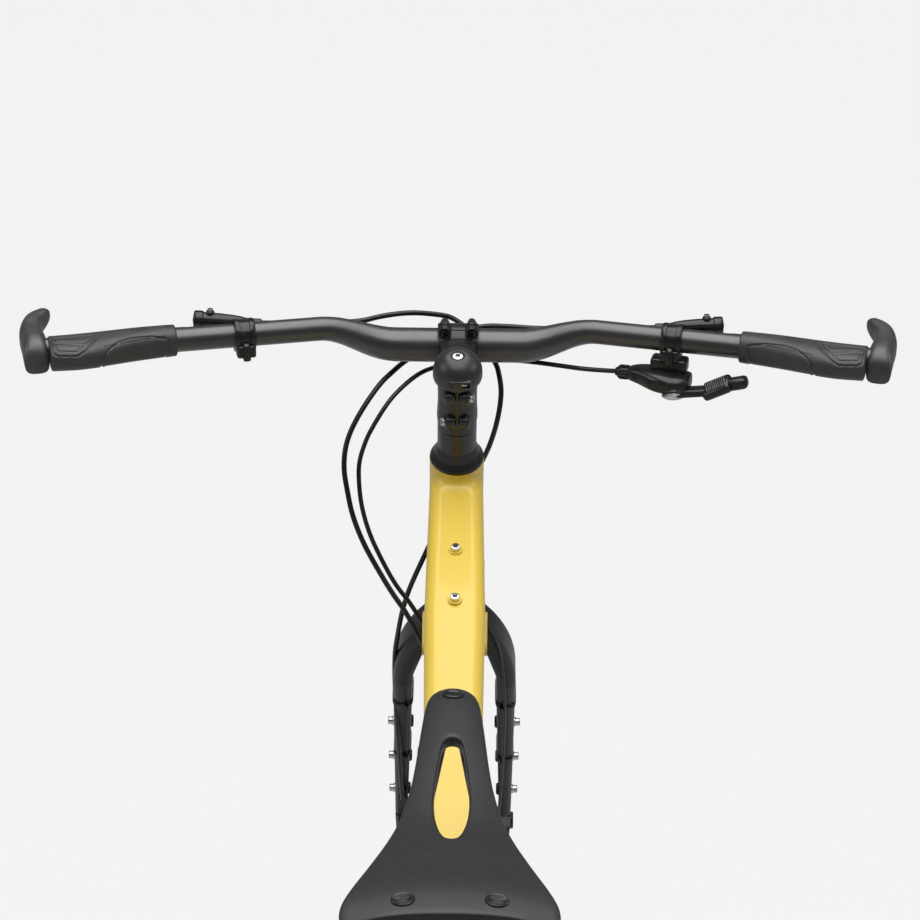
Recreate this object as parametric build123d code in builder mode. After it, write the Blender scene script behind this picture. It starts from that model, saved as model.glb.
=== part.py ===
from build123d import *
from math import asin, atan2, cos, hypot, pi, radians, sin, sqrt, tan
import os

# Touring bicycle: straight handlebar with bar ends, rigid fork, disc brakes, one chainring.
# X is the rider's right, Y forward, Z up, in mm. The origin is the rider's sit point on the saddle.

# Frame geometry, angles in degrees from the ground
HEAD_ANGLE = 70.0
SEAT_ANGLE = 73.0
TOP_TUBE_SLOPE = 16.0
REACH = 428.0
BB_DROP = 65.0
POST_AHEAD = 62.0       # where the post's axis crosses the rails, ahead of the sit point
RAIL_DROP = 52.0        # rails below the sit point
POST_TO_BB = 603.0      # rails to bottom bracket, along the seat tube

# Wheels and the room round them
WHEEL_R = 361.0
TYRE_W = 50.0
TYRE_DEEP = 44.0
RIM_R = WHEEL_R - TYRE_DEEP
RIM_DEEP = 22.0
RIM_W = 29.0
SPOKES = 32
SPOKE_R = 1.1
FLANGE_R = 31.0
ROTOR_R = 80.0
ROTOR_T = 1.8
FRONT_HALF = 50.0       # half the distance between the fork's ends
REAR_HALF = 71.0
AXLE_R = 6.0
STAY_ROOM = 89.0        # bottom bracket beyond the tyre
CROWN_ROOM = 76.725     # crown race beyond the tyre
CHAINSTAY = WHEEL_R + STAY_ROOM

# Head tube and headset, heights along the steering axis from the head tube's top
HEAD_LENGTH = 160.0
HEAD_R = 25.0
HEAD_FOOT_R = 28.0
CUP_HEIGHT = 10.0
STEERER_R = 14.3
CONE_HEIGHT = 18.0
CONE_R = 24.6
STACK_R = 17.8          # spacers above the cone
SPACER_TOP = 50.0
STEM_CLAMP_TOP = 97.0
CAP_R = 21.5
CAP_TOP = 124.0

# Tubes
TUBE_TOP_JOIN = 35.0    # top tube's axis below the head tube's top, along the steering axis
TUBE_DOWN_JOIN = HEAD_LENGTH - 48.0
TOP_W_HEAD = 49.0
TOP_W_MID = 53.0
TOP_W_SEAT = 40.0
TOP_DEEP = 42.0
DOWN_W_HEAD = 50.0
DOWN_W_FOOT = 58.0
DOWN_DEEP = 54.0
SEAT_TUBE_R = 17.5
SEAT_TUBE_RISE = 48.0   # seat tube above the top tube's axis
POST_R = 13.6
BB_SHELL_R = 23.0
BB_HALF = 36.5
STAY_DOWN = 40.0        # seat stays below the top tube, along the seat tube
BOSS_PITCH = 64.0
BOSS_R = 2.5

# Fork
RAKE = 47.0
CROWN_DEEP = 42.0
CROWN_AHEAD = 8.0
LEG_W = 20.0
LEG_OUT = 62.0
ARCH_TOP = 69.0         # underside of the crown below the crown race
LEG_START = 140.0
BLADE_FOOT = 48.0       # end of the blades above the front axle
RACE = HEAD_LENGTH + CUP_HEIGHT
AXLE_DOWN = RACE + WHEEL_R + CROWN_ROOM
STACK = BB_DROP + AXLE_DOWN * sin(radians(HEAD_ANGLE)) - RAKE * cos(radians(HEAD_ANGLE))

# Cockpit
STEM_AHEAD = 90.0
BAR_UP = 58.0
STEM_UP = 75.0
CLAMP_R = 15.9
GRIP_BAR_R = 11.1
BAR_FLAT = 58.0
BAR_BEND = 70.0
BAR_RISE = 18.0
BAR_SWEEP = 14.5
GRIP_IN = 257.0
GRIP_OUT = 368.0
BAR_END_OUT = 390.0
BRAKE_AT = 199.0
SHIFTER_AT = 184.0

# Drivetrain
CRANK = 170.0
CHAINLINE = 47.0
PITCH = 12.7
RING_TEETH = 36
COG_PITCH = 3.85
COG_TEETH = (11, 13, 15, 17, 19, 21, 24, 28, 32, 37, 42)
CHAIN_COG = 5           # cog that lies in the chainring's plane
PULLEY_TEETH = 12
PLATE_HALF = 4.2
PLATE_WAIST = 3.0
PEDAL_W = 96.0
PEDAL_LONG = 96.0
SPINDLE_R = 12.0
PEDAL_PIN_R = 6.5

# Saddle
SADDLE_BACK = 65.0      # rear edge behind the sit point
SADDLE_LONG = 283.0
SADDLE_HALF = 70.0
RAIL_R = 3.5

# Fits
RUN = 0.3               # a turning piece's clearance on its axle
SEAT = 0.1              # a fixed ring's clearance on the tube inside it


def rising(angle):
    """Unit vector in the plane of the frame, back and up at an angle."""
    return Vector(0, -cos(radians(angle)), sin(radians(angle)))


SEAT_UP = rising(SEAT_ANGLE)
STEER_UP = rising(HEAD_ANGLE)
RAIL_POINT = Vector(0, POST_AHEAD, -RAIL_DROP)
BB = RAIL_POINT - SEAT_UP * POST_TO_BB
HEAD_TOP = BB + Vector(0, REACH, STACK)
STEER = Plane(origin=HEAD_TOP, x_dir=(1, 0, 0), z_dir=STEER_UP)
SIDE = Plane(origin=HEAD_TOP, x_dir=STEER.y_dir, z_dir=(1, 0, 0))
STEER_AXIS = Axis(HEAD_TOP, STEER_UP)
REAR_AXLE = BB + Vector(0, -sqrt(CHAINSTAY ** 2 - BB_DROP ** 2), BB_DROP)
FRONT_AXLE = STEER.from_local_coords(Vector(0, RAKE, -AXLE_DOWN))
BAR_MID = STEER.from_local_coords(Vector(0, STEM_AHEAD, BAR_UP))


def steer(x, ahead, up):
    """A point in the steering frame: right, ahead of the axis, up along it."""
    return STEER.from_local_coords(Vector(x, ahead, up))


def cross(point, toward):
    """Plane across a run in the frame's plane, its width along X."""
    flat = Vector(0, toward.Y, toward.Z).normalized()
    return Plane(origin=point, x_dir=(1, 0, 0), z_dir=flat)


def wheel_plane(centre):
    """Plane through an axle, X along it and Y up."""
    return Plane(origin=centre, x_dir=(1, 0, 0), z_dir=(0, -1, 0))


def keep(piece, name):
    piece.part.label = name
    export_step(piece.part, f"parts/{name}.step")


def lathe(centre, points, bore=0.0):
    """Solid of revolution about a crosswise axle: points of x and radius, closed down to the bore."""
    with BuildPart() as turned:
        with BuildSketch(wheel_plane(centre)):
            Polygon((points[0][0], bore), *points, (points[-1][0], bore), align=None)
        revolve(axis=Axis(centre, (1, 0, 0)))
    return turned


def turned_on_steerer(points, bore):
    """Solid of revolution about the steering axis: points of radius and height."""
    with BuildPart() as turned:
        with BuildSketch(SIDE):
            Polygon((bore, points[0][1]), *points, (bore, points[-1][1]), align=None)
        revolve(axis=STEER_AXIS)
    return turned


def hose(points, radius, bend):
    """Six-sided run through points with rounded bends."""
    with BuildPart() as run:
        with BuildLine() as path:
            FilletPolyline(*points, radius=bend)
        with BuildSketch(Plane(origin=path.line @ 0, z_dir=path.line % 0)):
            RegularPolygon(radius, 6)
        sweep(path=path.line)
    return run


def mirrored(piece):
    with BuildPart() as other:
        mirror(piece.part, about=Plane.YZ)
    return other


def both_sides(piece):
    with BuildPart() as pair:
        add(piece.part)
        mirror(piece.part, about=Plane.YZ)
    return pair


os.makedirs("parts", exist_ok=True)

# Head tube with a wider foot
head_tube = turned_on_steerer(
    [(HEAD_R, 0), (HEAD_R, -HEAD_LENGTH + 34), (HEAD_FOOT_R, -HEAD_LENGTH + 18), (HEAD_FOOT_R, -HEAD_LENGTH)],
    STEERER_R + RUN)
head_core = turned_on_steerer([(HEAD_R, 20), (HEAD_R, -HEAD_LENGTH + 34), (HEAD_FOOT_R, -HEAD_LENGTH + 18),
                               (HEAD_FOOT_R, -HEAD_LENGTH - 20)], 0)
keep(head_tube, "head_tube")

# Seat tube, its front bottle bosses and the bottom bracket shell
top_start = STEER.from_local_coords(Vector(0, 0, -TUBE_TOP_JOIN))
top_back = Vector(0, -cos(radians(TOP_TUBE_SLOPE)), -sin(radians(TOP_TUBE_SLOPE)))
lift = (RAIL_POINT - top_start).cross(top_back).X / SEAT_UP.cross(top_back).X
seat_join = RAIL_POINT - SEAT_UP * lift
seat_top = seat_join + SEAT_UP * SEAT_TUBE_RISE
seat_tube_long = (seat_top - BB).length
with BuildPart() as bb_shell:
    with BuildSketch(Plane(origin=BB, x_dir=(0, 1, 0), z_dir=(1, 0, 0))):
        Circle(BB_SHELL_R)
    extrude(amount=BB_HALF, both=True)
bb_core = bb_shell.part
with BuildPart() as bottom_bracket_shell:
    add(bb_core)
    with BuildSketch(Plane(origin=BB, x_dir=(0, 1, 0), z_dir=(1, 0, 0))):
        Circle(SPINDLE_R + RUN)
    extrude(amount=BB_HALF + 1, both=True, mode=Mode.SUBTRACT)
keep(bottom_bracket_shell, "bottom_bracket_shell")

SEAT_PLANE = Plane(origin=BB, x_dir=(1, 0, 0), z_dir=SEAT_UP)
with BuildPart() as seat_tube:
    with BuildSketch(SEAT_PLANE):
        Circle(SEAT_TUBE_R)
    extrude(amount=seat_tube_long)
    add(bb_core, mode=Mode.SUBTRACT)
    with BuildSketch(SEAT_PLANE.offset(seat_tube_long)):
        Circle(POST_R + SEAT)
    extrude(amount=-130, mode=Mode.SUBTRACT)
    for rise in (190, 190 + BOSS_PITCH):
        with BuildSketch(Plane(origin=BB + SEAT_UP * rise, x_dir=(1, 0, 0), z_dir=SEAT_PLANE.y_dir)):
            Circle(BOSS_R)
        extrude(amount=SEAT_TUBE_R + 1, mode=Mode.SUBTRACT)
seat_core = Plane(origin=BB, x_dir=(1, 0, 0), z_dir=SEAT_UP) * Cylinder(
    SEAT_TUBE_R, 2 * seat_tube_long, align=(Align.CENTER, Align.CENTER, Align.CENTER))
keep(seat_tube, "seat_tube")

# Top tube, wider in its front half, with two bosses on top
top_long = (seat_join - top_start).length - 10
top_normal = Vector(0, top_back.Z, -top_back.Y)
with BuildPart() as top_tube:
    for share, width in ((0.0, TOP_W_HEAD), (0.32, TOP_W_MID), (1.0, TOP_W_SEAT)):
        with BuildSketch(cross(top_start + top_back * top_long * share, top_back)):
            RectangleRounded(width, TOP_DEEP - 8 * share, 12)
    loft(ruled=True)
    add(head_core.part, mode=Mode.SUBTRACT)
    add(seat_core, mode=Mode.SUBTRACT)
    for back in (114, 114 + BOSS_PITCH):
        with BuildSketch(Plane(origin=top_start + top_back * back, x_dir=(1, 0, 0), z_dir=top_normal)):
            Circle(BOSS_R)
        extrude(amount=TOP_DEEP, mode=Mode.SUBTRACT)
keep(top_tube, "top_tube")

# Down tube with a cable port on each side and bottle bosses on top
down_start = STEER.from_local_coords(Vector(0, 0, -TUBE_DOWN_JOIN))
down_dir = (BB - down_start).normalized()
down_normal = Vector(0, -down_dir.Z, down_dir.Y)
down_long = (BB - down_start).length
with BuildPart() as down_tube:
    for share, width, deep in ((0.0, DOWN_W_HEAD, DOWN_DEEP), (1.0, DOWN_W_FOOT, DOWN_DEEP - 10)):
        with BuildSketch(cross(down_start + down_dir * down_long * share, down_dir)):
            RectangleRounded(width, deep, 16)
    loft()
    port = down_start + down_dir * 90
    port_plane = Plane(origin=port, x_dir=down_dir, z_dir=(1, 0, 0))
    with BuildSketch(port_plane):
        SlotOverall(42, 18)
    extrude(amount=DOWN_W_HEAD / 2 + 5.5, both=True)
    add(head_core.part, mode=Mode.SUBTRACT)
    add(bb_core, mode=Mode.SUBTRACT)
    add(seat_core, mode=Mode.SUBTRACT)
    for down in (250, 250 + BOSS_PITCH):
        with BuildSketch(Plane(origin=down_start + down_dir * down, x_dir=(1, 0, 0), z_dir=-down_normal)):
            Circle(BOSS_R)
        extrude(amount=DOWN_DEEP, mode=Mode.SUBTRACT)
keep(down_tube, "down_tube")

# Chain stays and seat stays end on the dropouts
stay_end_x = REAR_HALF + 6
stay_out = (BB - REAR_AXLE).normalized()
stay_foot = REAR_AXLE + stay_out * 42
with BuildPart() as chain_stay:
    for point, x, width, deep in ((BB, 23, 14, 28), (stay_foot, stay_end_x, 12, 20)):
        with BuildSketch(cross(point + Vector(x, 0, 0), stay_out)):
            RectangleRounded(width, deep, 5.5)
    loft()
    add(bb_core, mode=Mode.SUBTRACT)
chain_stays = both_sides(chain_stay)
keep(chain_stays, "chain_stays")

seat_stay_top = seat_join - SEAT_UP * STAY_DOWN
seat_stay_dir = (seat_stay_top - REAR_AXLE).normalized()
seat_stay_foot = REAR_AXLE + seat_stay_dir * 46
with BuildPart() as seat_stay:
    for point, x, width in ((seat_stay_top, 24, 18), (seat_stay_foot, stay_end_x, 12)):
        with BuildSketch(cross(point + Vector(x, 0, 0), seat_stay_dir)):
            RectangleRounded(width, width, 5.5)
    loft()
    add(seat_core, mode=Mode.SUBTRACT)
seat_stays = both_sides(seat_stay)
keep(seat_stays, "seat_stays")

bridge_at = REAR_AXLE + seat_stay_dir * (WHEEL_R + 24)
with BuildPart() as bridge_bar:
    with BuildSketch(Plane(origin=bridge_at, x_dir=(0, 1, 0), z_dir=(1, 0, 0))):
        Circle(6)
    extrude(amount=40, both=True)
    add(seat_stays.part, mode=Mode.SUBTRACT)
with BuildPart() as stay_bridge:
    add([piece for piece in bridge_bar.part.solids() if abs(piece.center().X) < 1])
keep(stay_bridge, "stay_bridge")

# Dropouts: plates between the stays' ends and the axle, the right one with the derailleur hanger
AXLE_SIDE = Plane(origin=REAR_AXLE + Vector(REAR_HALF, 0, 0), x_dir=(0, 1, 0), z_dir=(1, 0, 0))
hanger = REAR_AXLE + Vector(0, -4, -30)


def ends(run_dir, foot, deep):
    """The two corners of a stay's end, in the plane of the dropout."""
    side = Vector(0, -run_dir.Z, run_dir.Y) * deep / 2
    return [((foot + side * k - REAR_AXLE).Y, (foot + side * k - REAR_AXLE).Z) for k in (1, -1)]


def dropout(hang):
    with BuildPart() as plate:
        with BuildSketch(AXLE_SIDE):
            low = ends(stay_out, stay_foot, 20)
            high = ends(seat_stay_dir, seat_stay_foot, 12)
            Polygon(high[0], high[1], low[0], low[1], (0, -14), (-14, 0), align=None)
            Circle(17)
            if hang:
                Polygon((-14, 0), (14, 0), (6, -34), (-14, -34), align=None)
                with Locations((-4, -30)):
                    Circle(11)
            Circle(AXLE_R + SEAT, mode=Mode.SUBTRACT)
        extrude(amount=8)
    return plate


with BuildPart() as dropouts:
    add(dropout(True).part)
    mirror(dropout(False).part, about=Plane.YZ)
keep(dropouts, "dropouts")

# Seat clamp, post, rails and saddle
with BuildPart() as seat_clamp:
    with BuildSketch(SEAT_PLANE.offset(seat_tube_long + SEAT)):
        Circle(SEAT_TUBE_R + 3)
        Circle(POST_R + SEAT, mode=Mode.SUBTRACT)
    extrude(amount=15)
    with BuildSketch(SEAT_PLANE.offset(seat_tube_long + SEAT)):
        with Locations((0, -SEAT_TUBE_R - 5)):
            RectangleRounded(24, 12, 3)
        Circle(SEAT_TUBE_R, mode=Mode.SUBTRACT)
    extrude(amount=15)
keep(seat_clamp, "seat_clamp")

post_up = POST_TO_BB - 12
with BuildPart() as seatpost:
    with BuildSketch(SEAT_PLANE.offset(seat_tube_long - 120)):
        Circle(POST_R)
    extrude(amount=post_up - seat_tube_long + 120)
    with Locations(Plane(origin=RAIL_POINT - Vector(0, 0, RAIL_R + 8))):
        Box(56, 44, 16)
    fillet(seatpost.edges().filter_by(Axis.Z), 5)
    for x in (-22, 22):
        with Locations((x, POST_AHEAD, -RAIL_DROP)):
            Cylinder(RAIL_R + SEAT, 90, rotation=(90, 0, 0), mode=Mode.SUBTRACT)
keep(seatpost, "seatpost")

with BuildPart() as post_cap:
    with Locations(Plane(origin=RAIL_POINT + Vector(0, 0, 5.5))):
        Box(56, 40, 10.8)
    fillet(post_cap.edges().filter_by(Axis.X).group_by(Axis.Z)[-1], 4)
    for x in (-22, 22):
        with Locations((x, POST_AHEAD, -RAIL_DROP)):
            Cylinder(RAIL_R + SEAT, 90, rotation=(90, 0, 0), mode=Mode.SUBTRACT)
keep(post_cap, "post_cap")

saddle_nose = SADDLE_LONG - SADDLE_BACK
rail_path = [(40, -52, -16), (40, -44, -34), (22, 10, -RAIL_DROP), (22, 100, -RAIL_DROP),
             (6, saddle_nose - 26, -20)]
with BuildPart() as rail:
    with BuildLine() as rail_line:
        FilletPolyline(*rail_path, radius=(8, 24, 30))
    with BuildSketch(Plane(origin=rail_line.line @ 0, z_dir=rail_line.line % 0)):
        RegularPolygon(RAIL_R, 12)
    sweep(path=rail_line.line)
saddle_rails = both_sides(rail)
keep(saddle_rails, "saddle_rails")

# Saddle shell: plan outline with its slot, cut from a slab that follows the side profile
with BuildPart() as saddle_top:
    with BuildSketch(Plane.XY.offset(-60)):
        with BuildLine():
            FilletPolyline((0, -SADDLE_BACK + 2), (SADDLE_HALF, -SADDLE_BACK), (SADDLE_HALF - 3, -44),
                           (36, 44), (25, 120), (19, saddle_nose - 6), (0, saddle_nose),
                           radius=(5, 26, 160, 300, 16))
            mirror(about=Plane.YZ)
        make_face()
        with Locations((0, 85)):
            SlotOverall(124, 24, rotation=90, mode=Mode.SUBTRACT)
    extrude(amount=90)
    with BuildSketch(Plane.YZ):
        with BuildLine():
            top = FilletPolyline((-SADDLE_BACK - 5, 6), (-SADDLE_BACK + 24, 3), (60, -5),
                                 (saddle_nose - 40, 3), (saddle_nose + 5, 1), radius=(30, 180, 40))
            low = FilletPolyline((-SADDLE_BACK - 5, -13), (-SADDLE_BACK + 24, -10), (60, -14),
                                 (saddle_nose - 40, -12), (saddle_nose + 5, -20), radius=(30, 180, 40))
            Line(top @ 0, low @ 0)
            Line(top @ 1, low @ 1)
        make_face()
    extrude(amount=90, both=True, mode=Mode.INTERSECT)
    fillet(saddle_top.faces().sort_by(SortBy.AREA)[-2:].sort_by(Axis.Z)[-1].outer_wire().edges(), 3)
keep(saddle_top, "saddle_top")

with BuildPart() as saddle_frame:
    with Locations((0, -SADDLE_BACK + 14, -16)):
        Box(104, 16, 12)
    with Locations((0, saddle_nose - 24, -17)):
        Box(22, 22, 12)
    for x in (-40, 40):
        with Locations((x, -52, -20)):
            Cylinder(RAIL_R + 2, 24, align=(Align.CENTER, Align.CENTER, Align.MAX))
    add(saddle_top.part, mode=Mode.SUBTRACT)
    add(saddle_rails.part, mode=Mode.SUBTRACT)
keep(saddle_frame, "saddle_frame")

# Headset: the lower cup stays with the frame, the cone and spacers turn with the fork
lower_cup = turned_on_steerer([(HEAD_FOOT_R, -HEAD_LENGTH), (HEAD_FOOT_R - 1, -RACE + RUN)], STEERER_R + RUN)
keep(lower_cup, "headset_lower_cup")
cone = turned_on_steerer([(CONE_R, RUN), (CONE_R, 3), (STACK_R + 3, 9), (STACK_R, CONE_HEIGHT)],
                         STEERER_R + SEAT)
keep(cone, "headset_cone")
spacers = turned_on_steerer(
    [(STACK_R, CONE_HEIGHT), (STACK_R, 42), (STACK_R - 0.8, 42.6), (STACK_R, 43.2), (STACK_R, SPACER_TOP)],
    STEERER_R + SEAT)
keep(spacers, "spacers")

# Fork crown with its steerer, and the blades
CROWN = Plane(origin=steer(0, CROWN_AHEAD, -RACE), x_dir=(1, 0, 0), z_dir=-STEER.y_dir)
with BuildPart() as fork_crown:
    with BuildSketch(CROWN):
        with BuildLine():
            inner = LEG_OUT - LEG_W
            Polyline((0, 0), (22, 0), (27, -52))
            TangentArc((27, -52), (LEG_OUT, -LEG_START), tangent=(0, 1), tangent_from_first=False)
            Line((LEG_OUT, -LEG_START), (inner, -LEG_START))
            FilletPolyline((inner, -LEG_START), (inner, -ARCH_TOP - 62), (inner - 10, -ARCH_TOP - 28),
                           (inner - 23, -ARCH_TOP - 6), (0, -ARCH_TOP), radius=(12, 14, 18))
            mirror(about=Plane.YZ)
        make_face()
    extrude(amount=CROWN_DEEP / 2, both=True)
    rim_edges = [e for f in fork_crown.faces().filter_by(Axis(CROWN.origin, CROWN.z_dir)) for e in f.edges()]
    round_edges = [e for e in rim_edges if abs(CROWN.to_local_coords(e.center()).Y + LEG_START) > 1]
    fillet([e for e in round_edges if CROWN.to_local_coords(e.center()).Y < -1], 8)
    with BuildSketch(STEER.offset(-RACE)):
        Circle(HEAD_FOOT_R - 2)
    extrude(amount=-12)
    with BuildSketch(STEER.offset(-RACE)):
        Circle(STEERER_R)
    extrude(amount=RACE + STEM_CLAMP_TOP - 4)
keep(fork_crown, "fork_crown")

leg_x = LEG_OUT - LEG_W / 2
foot_x = FRONT_HALF + 6.5
foot_ahead = CROWN_AHEAD + 22
boss_from_axle = 82
blade_long = AXLE_DOWN - RACE - LEG_START - BLADE_FOOT
blade_lean = atan2(foot_ahead - CROWN_AHEAD, blade_long)
with BuildPart() as fork_blade_right:
    shoulder = steer(leg_x, CROWN_AHEAD, -RACE - LEG_START)
    with BuildSketch(Plane(origin=shoulder, x_dir=(1, 0, 0), z_dir=STEER_UP)):
        RectangleRounded(LEG_W, CROWN_DEEP, 8)
    foot = Plane(origin=steer(foot_x, foot_ahead, -AXLE_DOWN + BLADE_FOOT), x_dir=(1, 0, 0), z_dir=STEER_UP)
    with BuildSketch(foot):
        RectangleRounded(13, 30, 5)
    loft()
    with BuildSketch(Plane(origin=steer(foot_x - 6.5, 0, 0), x_dir=STEER.y_dir, z_dir=(1, 0, 0))):
        with Locations((RAKE, -AXLE_DOWN)):
            Circle(16)
        Polygon((foot_ahead - 15, -AXLE_DOWN + BLADE_FOOT), (foot_ahead + 15, -AXLE_DOWN + BLADE_FOOT),
                (RAKE + 16, -AXLE_DOWN), (RAKE - 8, -AXLE_DOWN - 13.8), align=None)
        with Locations((RAKE, -AXLE_DOWN)):
            Circle(AXLE_R + SEAT, mode=Mode.SUBTRACT)
    extrude(amount=13)
    for k in range(3):
        rise = boss_from_axle + BOSS_PITCH * cos(blade_lean) * k
        ahead = foot_ahead - (rise - BLADE_FOOT) * tan(blade_lean)
        bottom = steer(leg_x - 1.8, ahead, -AXLE_DOWN + rise)
        with BuildSketch(Plane(origin=bottom, x_dir=(0, 1, 0), z_dir=(1, 0, 0))):
            Circle(BOSS_R)
        extrude(amount=LEG_W, mode=Mode.SUBTRACT)
fork_blade_left = mirrored(fork_blade_right)
keep(both_sides(fork_blade_right), "fork_blades")

# Stem: a sleeve on the steerer, an arm and the rear half of the bar clamp
arm_dir = (BAR_MID - steer(0, 0, STEM_UP)).normalized()
BAR_PLANE = Plane(origin=BAR_MID, x_dir=(1, 0, 0), z_dir=arm_dir)
BAR_SIDE = Plane(origin=BAR_MID, x_dir=arm_dir, z_dir=(1, 0, 0))
with BuildPart() as bar_clamp:
    with BuildSketch(BAR_SIDE):
        Circle(20.5)
    extrude(amount=19, both=True)
    with BuildSketch(BAR_PLANE.offset(-13)):
        with GridLocations(25, 41, 2, 2):
            Circle(6)
    extrude(amount=26)
    with BuildSketch(BAR_SIDE):
        Circle(CLAMP_R + SEAT)
    extrude(amount=20, both=True, mode=Mode.SUBTRACT)
with BuildPart() as stem_faceplate:
    add(bar_clamp.part)
    split(bisect_by=BAR_PLANE.offset(0.6), keep=Keep.TOP)
keep(stem_faceplate, "stem_faceplate")

with BuildPart() as stem:
    with BuildSketch(STEER.offset(SPACER_TOP)):
        Circle(18)
    extrude(amount=STEM_CLAMP_TOP - SPACER_TOP)
    arm_start = steer(0, 0, STEM_UP)
    for at, width, deep in ((arm_start, 34, 36), (BAR_MID - arm_dir * 12, 38, 36)):
        with BuildSketch(Plane(origin=at, x_dir=(1, 0, 0), z_dir=arm_dir)):
            RectangleRounded(width, deep, 12)
    loft()
    with BuildSketch(Plane(origin=steer(0, -22, STEM_UP), x_dir=(1, 0, 0), z_dir=STEER_UP)):
        Rectangle(22, 16)
    extrude(amount=20, both=True)
    with BuildSketch(Plane(origin=steer(0, 0, STEM_UP), x_dir=(1, 0, 0), z_dir=STEER_UP)):
        with Locations((0, -24)):
            Rectangle(2, 20)
    extrude(amount=40, both=True, mode=Mode.SUBTRACT)
    with BuildSketch(STEER.offset(SPACER_TOP - 1)):
        Circle(STEERER_R + SEAT)
    extrude(amount=STEM_CLAMP_TOP - SPACER_TOP + 2, mode=Mode.SUBTRACT)
    with BuildSketch(BAR_SIDE):
        Circle(CLAMP_R + 2)
    extrude(amount=20, both=True, mode=Mode.SUBTRACT)
    add(split(bar_clamp.part, bisect_by=BAR_PLANE.offset(-0.6), keep=Keep.BOTTOM, mode=Mode.PRIVATE))
keep(stem, "stem")

# Charger cap: a domed body on the stem with a socket at the back
with BuildPart() as charger_cap:
    with BuildSketch(SIDE):
        with BuildLine():
            Polyline((0, CAP_TOP), (0, STEM_CLAMP_TOP), (17, STEM_CLAMP_TOP), (CAP_R - 1, STEM_CLAMP_TOP + 5),
                     (CAP_R, STEM_CLAMP_TOP + 12))
            ThreePointArc((CAP_R, STEM_CLAMP_TOP + 12), (CAP_R - 6, CAP_TOP - 4.5), (8, CAP_TOP))
            Line((8, CAP_TOP), (0, CAP_TOP))
        make_face()
    revolve(axis=STEER_AXIS)
    with Locations(Plane(origin=steer(0, -CAP_R, STEM_CLAMP_TOP + 8.5), x_dir=(1, 0, 0), z_dir=STEER_UP)):
        Box(14, 5, 7, mode=Mode.SUBTRACT)
    with BuildSketch(STEER.offset(CAP_TOP)):
        Circle(5.5)
    extrude(amount=-3, mode=Mode.SUBTRACT)
keep(charger_cap, "charger_cap")

# Handlebar: thick straight middle, a rising bend on each side, swept ends
sweep_slope = tan(radians(BAR_SWEEP))
bar_out = Vector(cos(radians(BAR_SWEEP)), -sin(radians(BAR_SWEEP)), 0)


def bar_point(x):
    """Centre of the handlebar at a distance to the right."""
    u = min(max((x - BAR_FLAT) / BAR_BEND, 0), 1)
    back = sweep_slope * (BAR_BEND * u * u / 2 + max(x - BAR_FLAT - BAR_BEND, 0))
    return BAR_MID + Vector(x, -back, BAR_RISE * u * u * (3 - 2 * u))


def control(x):
    """Frame of a control on the bar: X out along it, Z up."""
    return Plane(origin=bar_point(x), x_dir=bar_out, z_dir=(0, 0, 1))


with BuildPart() as bar_half:
    for k in range(5):
        x = BAR_FLAT + BAR_BEND * k / 4
        u = k / 4
        tangent = Vector(1, -sweep_slope * u, BAR_RISE / BAR_BEND * 6 * u * (1 - u))
        with BuildSketch(Plane(origin=bar_point(x), z_dir=tangent)):
            Circle(CLAMP_R + (GRIP_BAR_R - CLAMP_R) * u * u * (3 - 2 * u))
    loft()
    bend_end = BAR_FLAT + BAR_BEND
    with BuildSketch(Plane(origin=bar_point(bend_end), z_dir=bar_out)):
        Circle(GRIP_BAR_R)
    extrude(amount=(BAR_END_OUT - 4 - bend_end) / bar_out.X)
with BuildPart() as handlebar:
    with BuildSketch(Plane(origin=BAR_MID, z_dir=(1, 0, 0))):
        Circle(CLAMP_R)
    extrude(amount=BAR_FLAT, both=True)
    add(bar_half.part)
    mirror(bar_half.part, about=Plane.YZ)
keep(handlebar, "handlebar")

# Grips with a palm wing toward the rider, and short bar ends that curve inward
with BuildPart() as grip_right:
    for share, wide, deep, back in ((0, 32, 31, 0), (0.3, 36, 31, 3), (0.75, 54, 30, 11), (1, 50, 30, 9)):
        at = control(GRIP_IN + (GRIP_OUT - GRIP_IN) * share)
        middle = at.from_local_coords(Vector(0, -back, 0))
        with BuildSketch(Plane(origin=middle, x_dir=at.y_dir, z_dir=bar_out)):
            RectangleRounded(wide, deep, deep / 2 - 0.5)
    loft()
    with BuildSketch(Plane(origin=bar_point(GRIP_IN - 2), z_dir=bar_out)):
        Circle(GRIP_BAR_R + SEAT)
    extrude(amount=GRIP_OUT - GRIP_IN + 20, mode=Mode.SUBTRACT)
keep(grip_right, "grip_right")
keep(mirrored(grip_right), "grip_left")

with BuildPart() as bar_end_right:
    END = control(GRIP_OUT)
    end_long = (BAR_END_OUT - GRIP_OUT) / bar_out.X
    with BuildSketch(Plane(origin=bar_point(GRIP_OUT + 0.4), z_dir=bar_out)):
        Circle(17)
    extrude(amount=end_long)
    fillet(bar_end_right.edges().filter_by(GeomType.CIRCLE).sort_by(Axis.X)[-1], 5)
    for out, ahead, up, turn, wide, deep in ((11.8, 0, 0, 0, 22, 30), (12.8, 24, 4, 8, 21, 26),
                                             (8, 43, 9, 38, 18, 22), (-4, 54, 12, 62, 14, 17)):
        lean = END.from_local_coords(Vector(-sin(radians(turn)), cos(radians(turn)), 0.1)) - END.origin
        middle = END.from_local_coords(Vector(out, ahead, up))
        with BuildSketch(Plane(origin=middle, x_dir=(0, 0, 1), z_dir=lean)):
            RectangleRounded(deep, wide, wide / 2 - 1)
    loft()
    with BuildSketch(Plane(origin=bar_point(GRIP_OUT - 2), z_dir=bar_out)):
        Circle(GRIP_BAR_R + SEAT)
    extrude(amount=end_long - 1, mode=Mode.SUBTRACT)
keep(both_sides(bar_end_right), "bar_ends")

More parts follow.
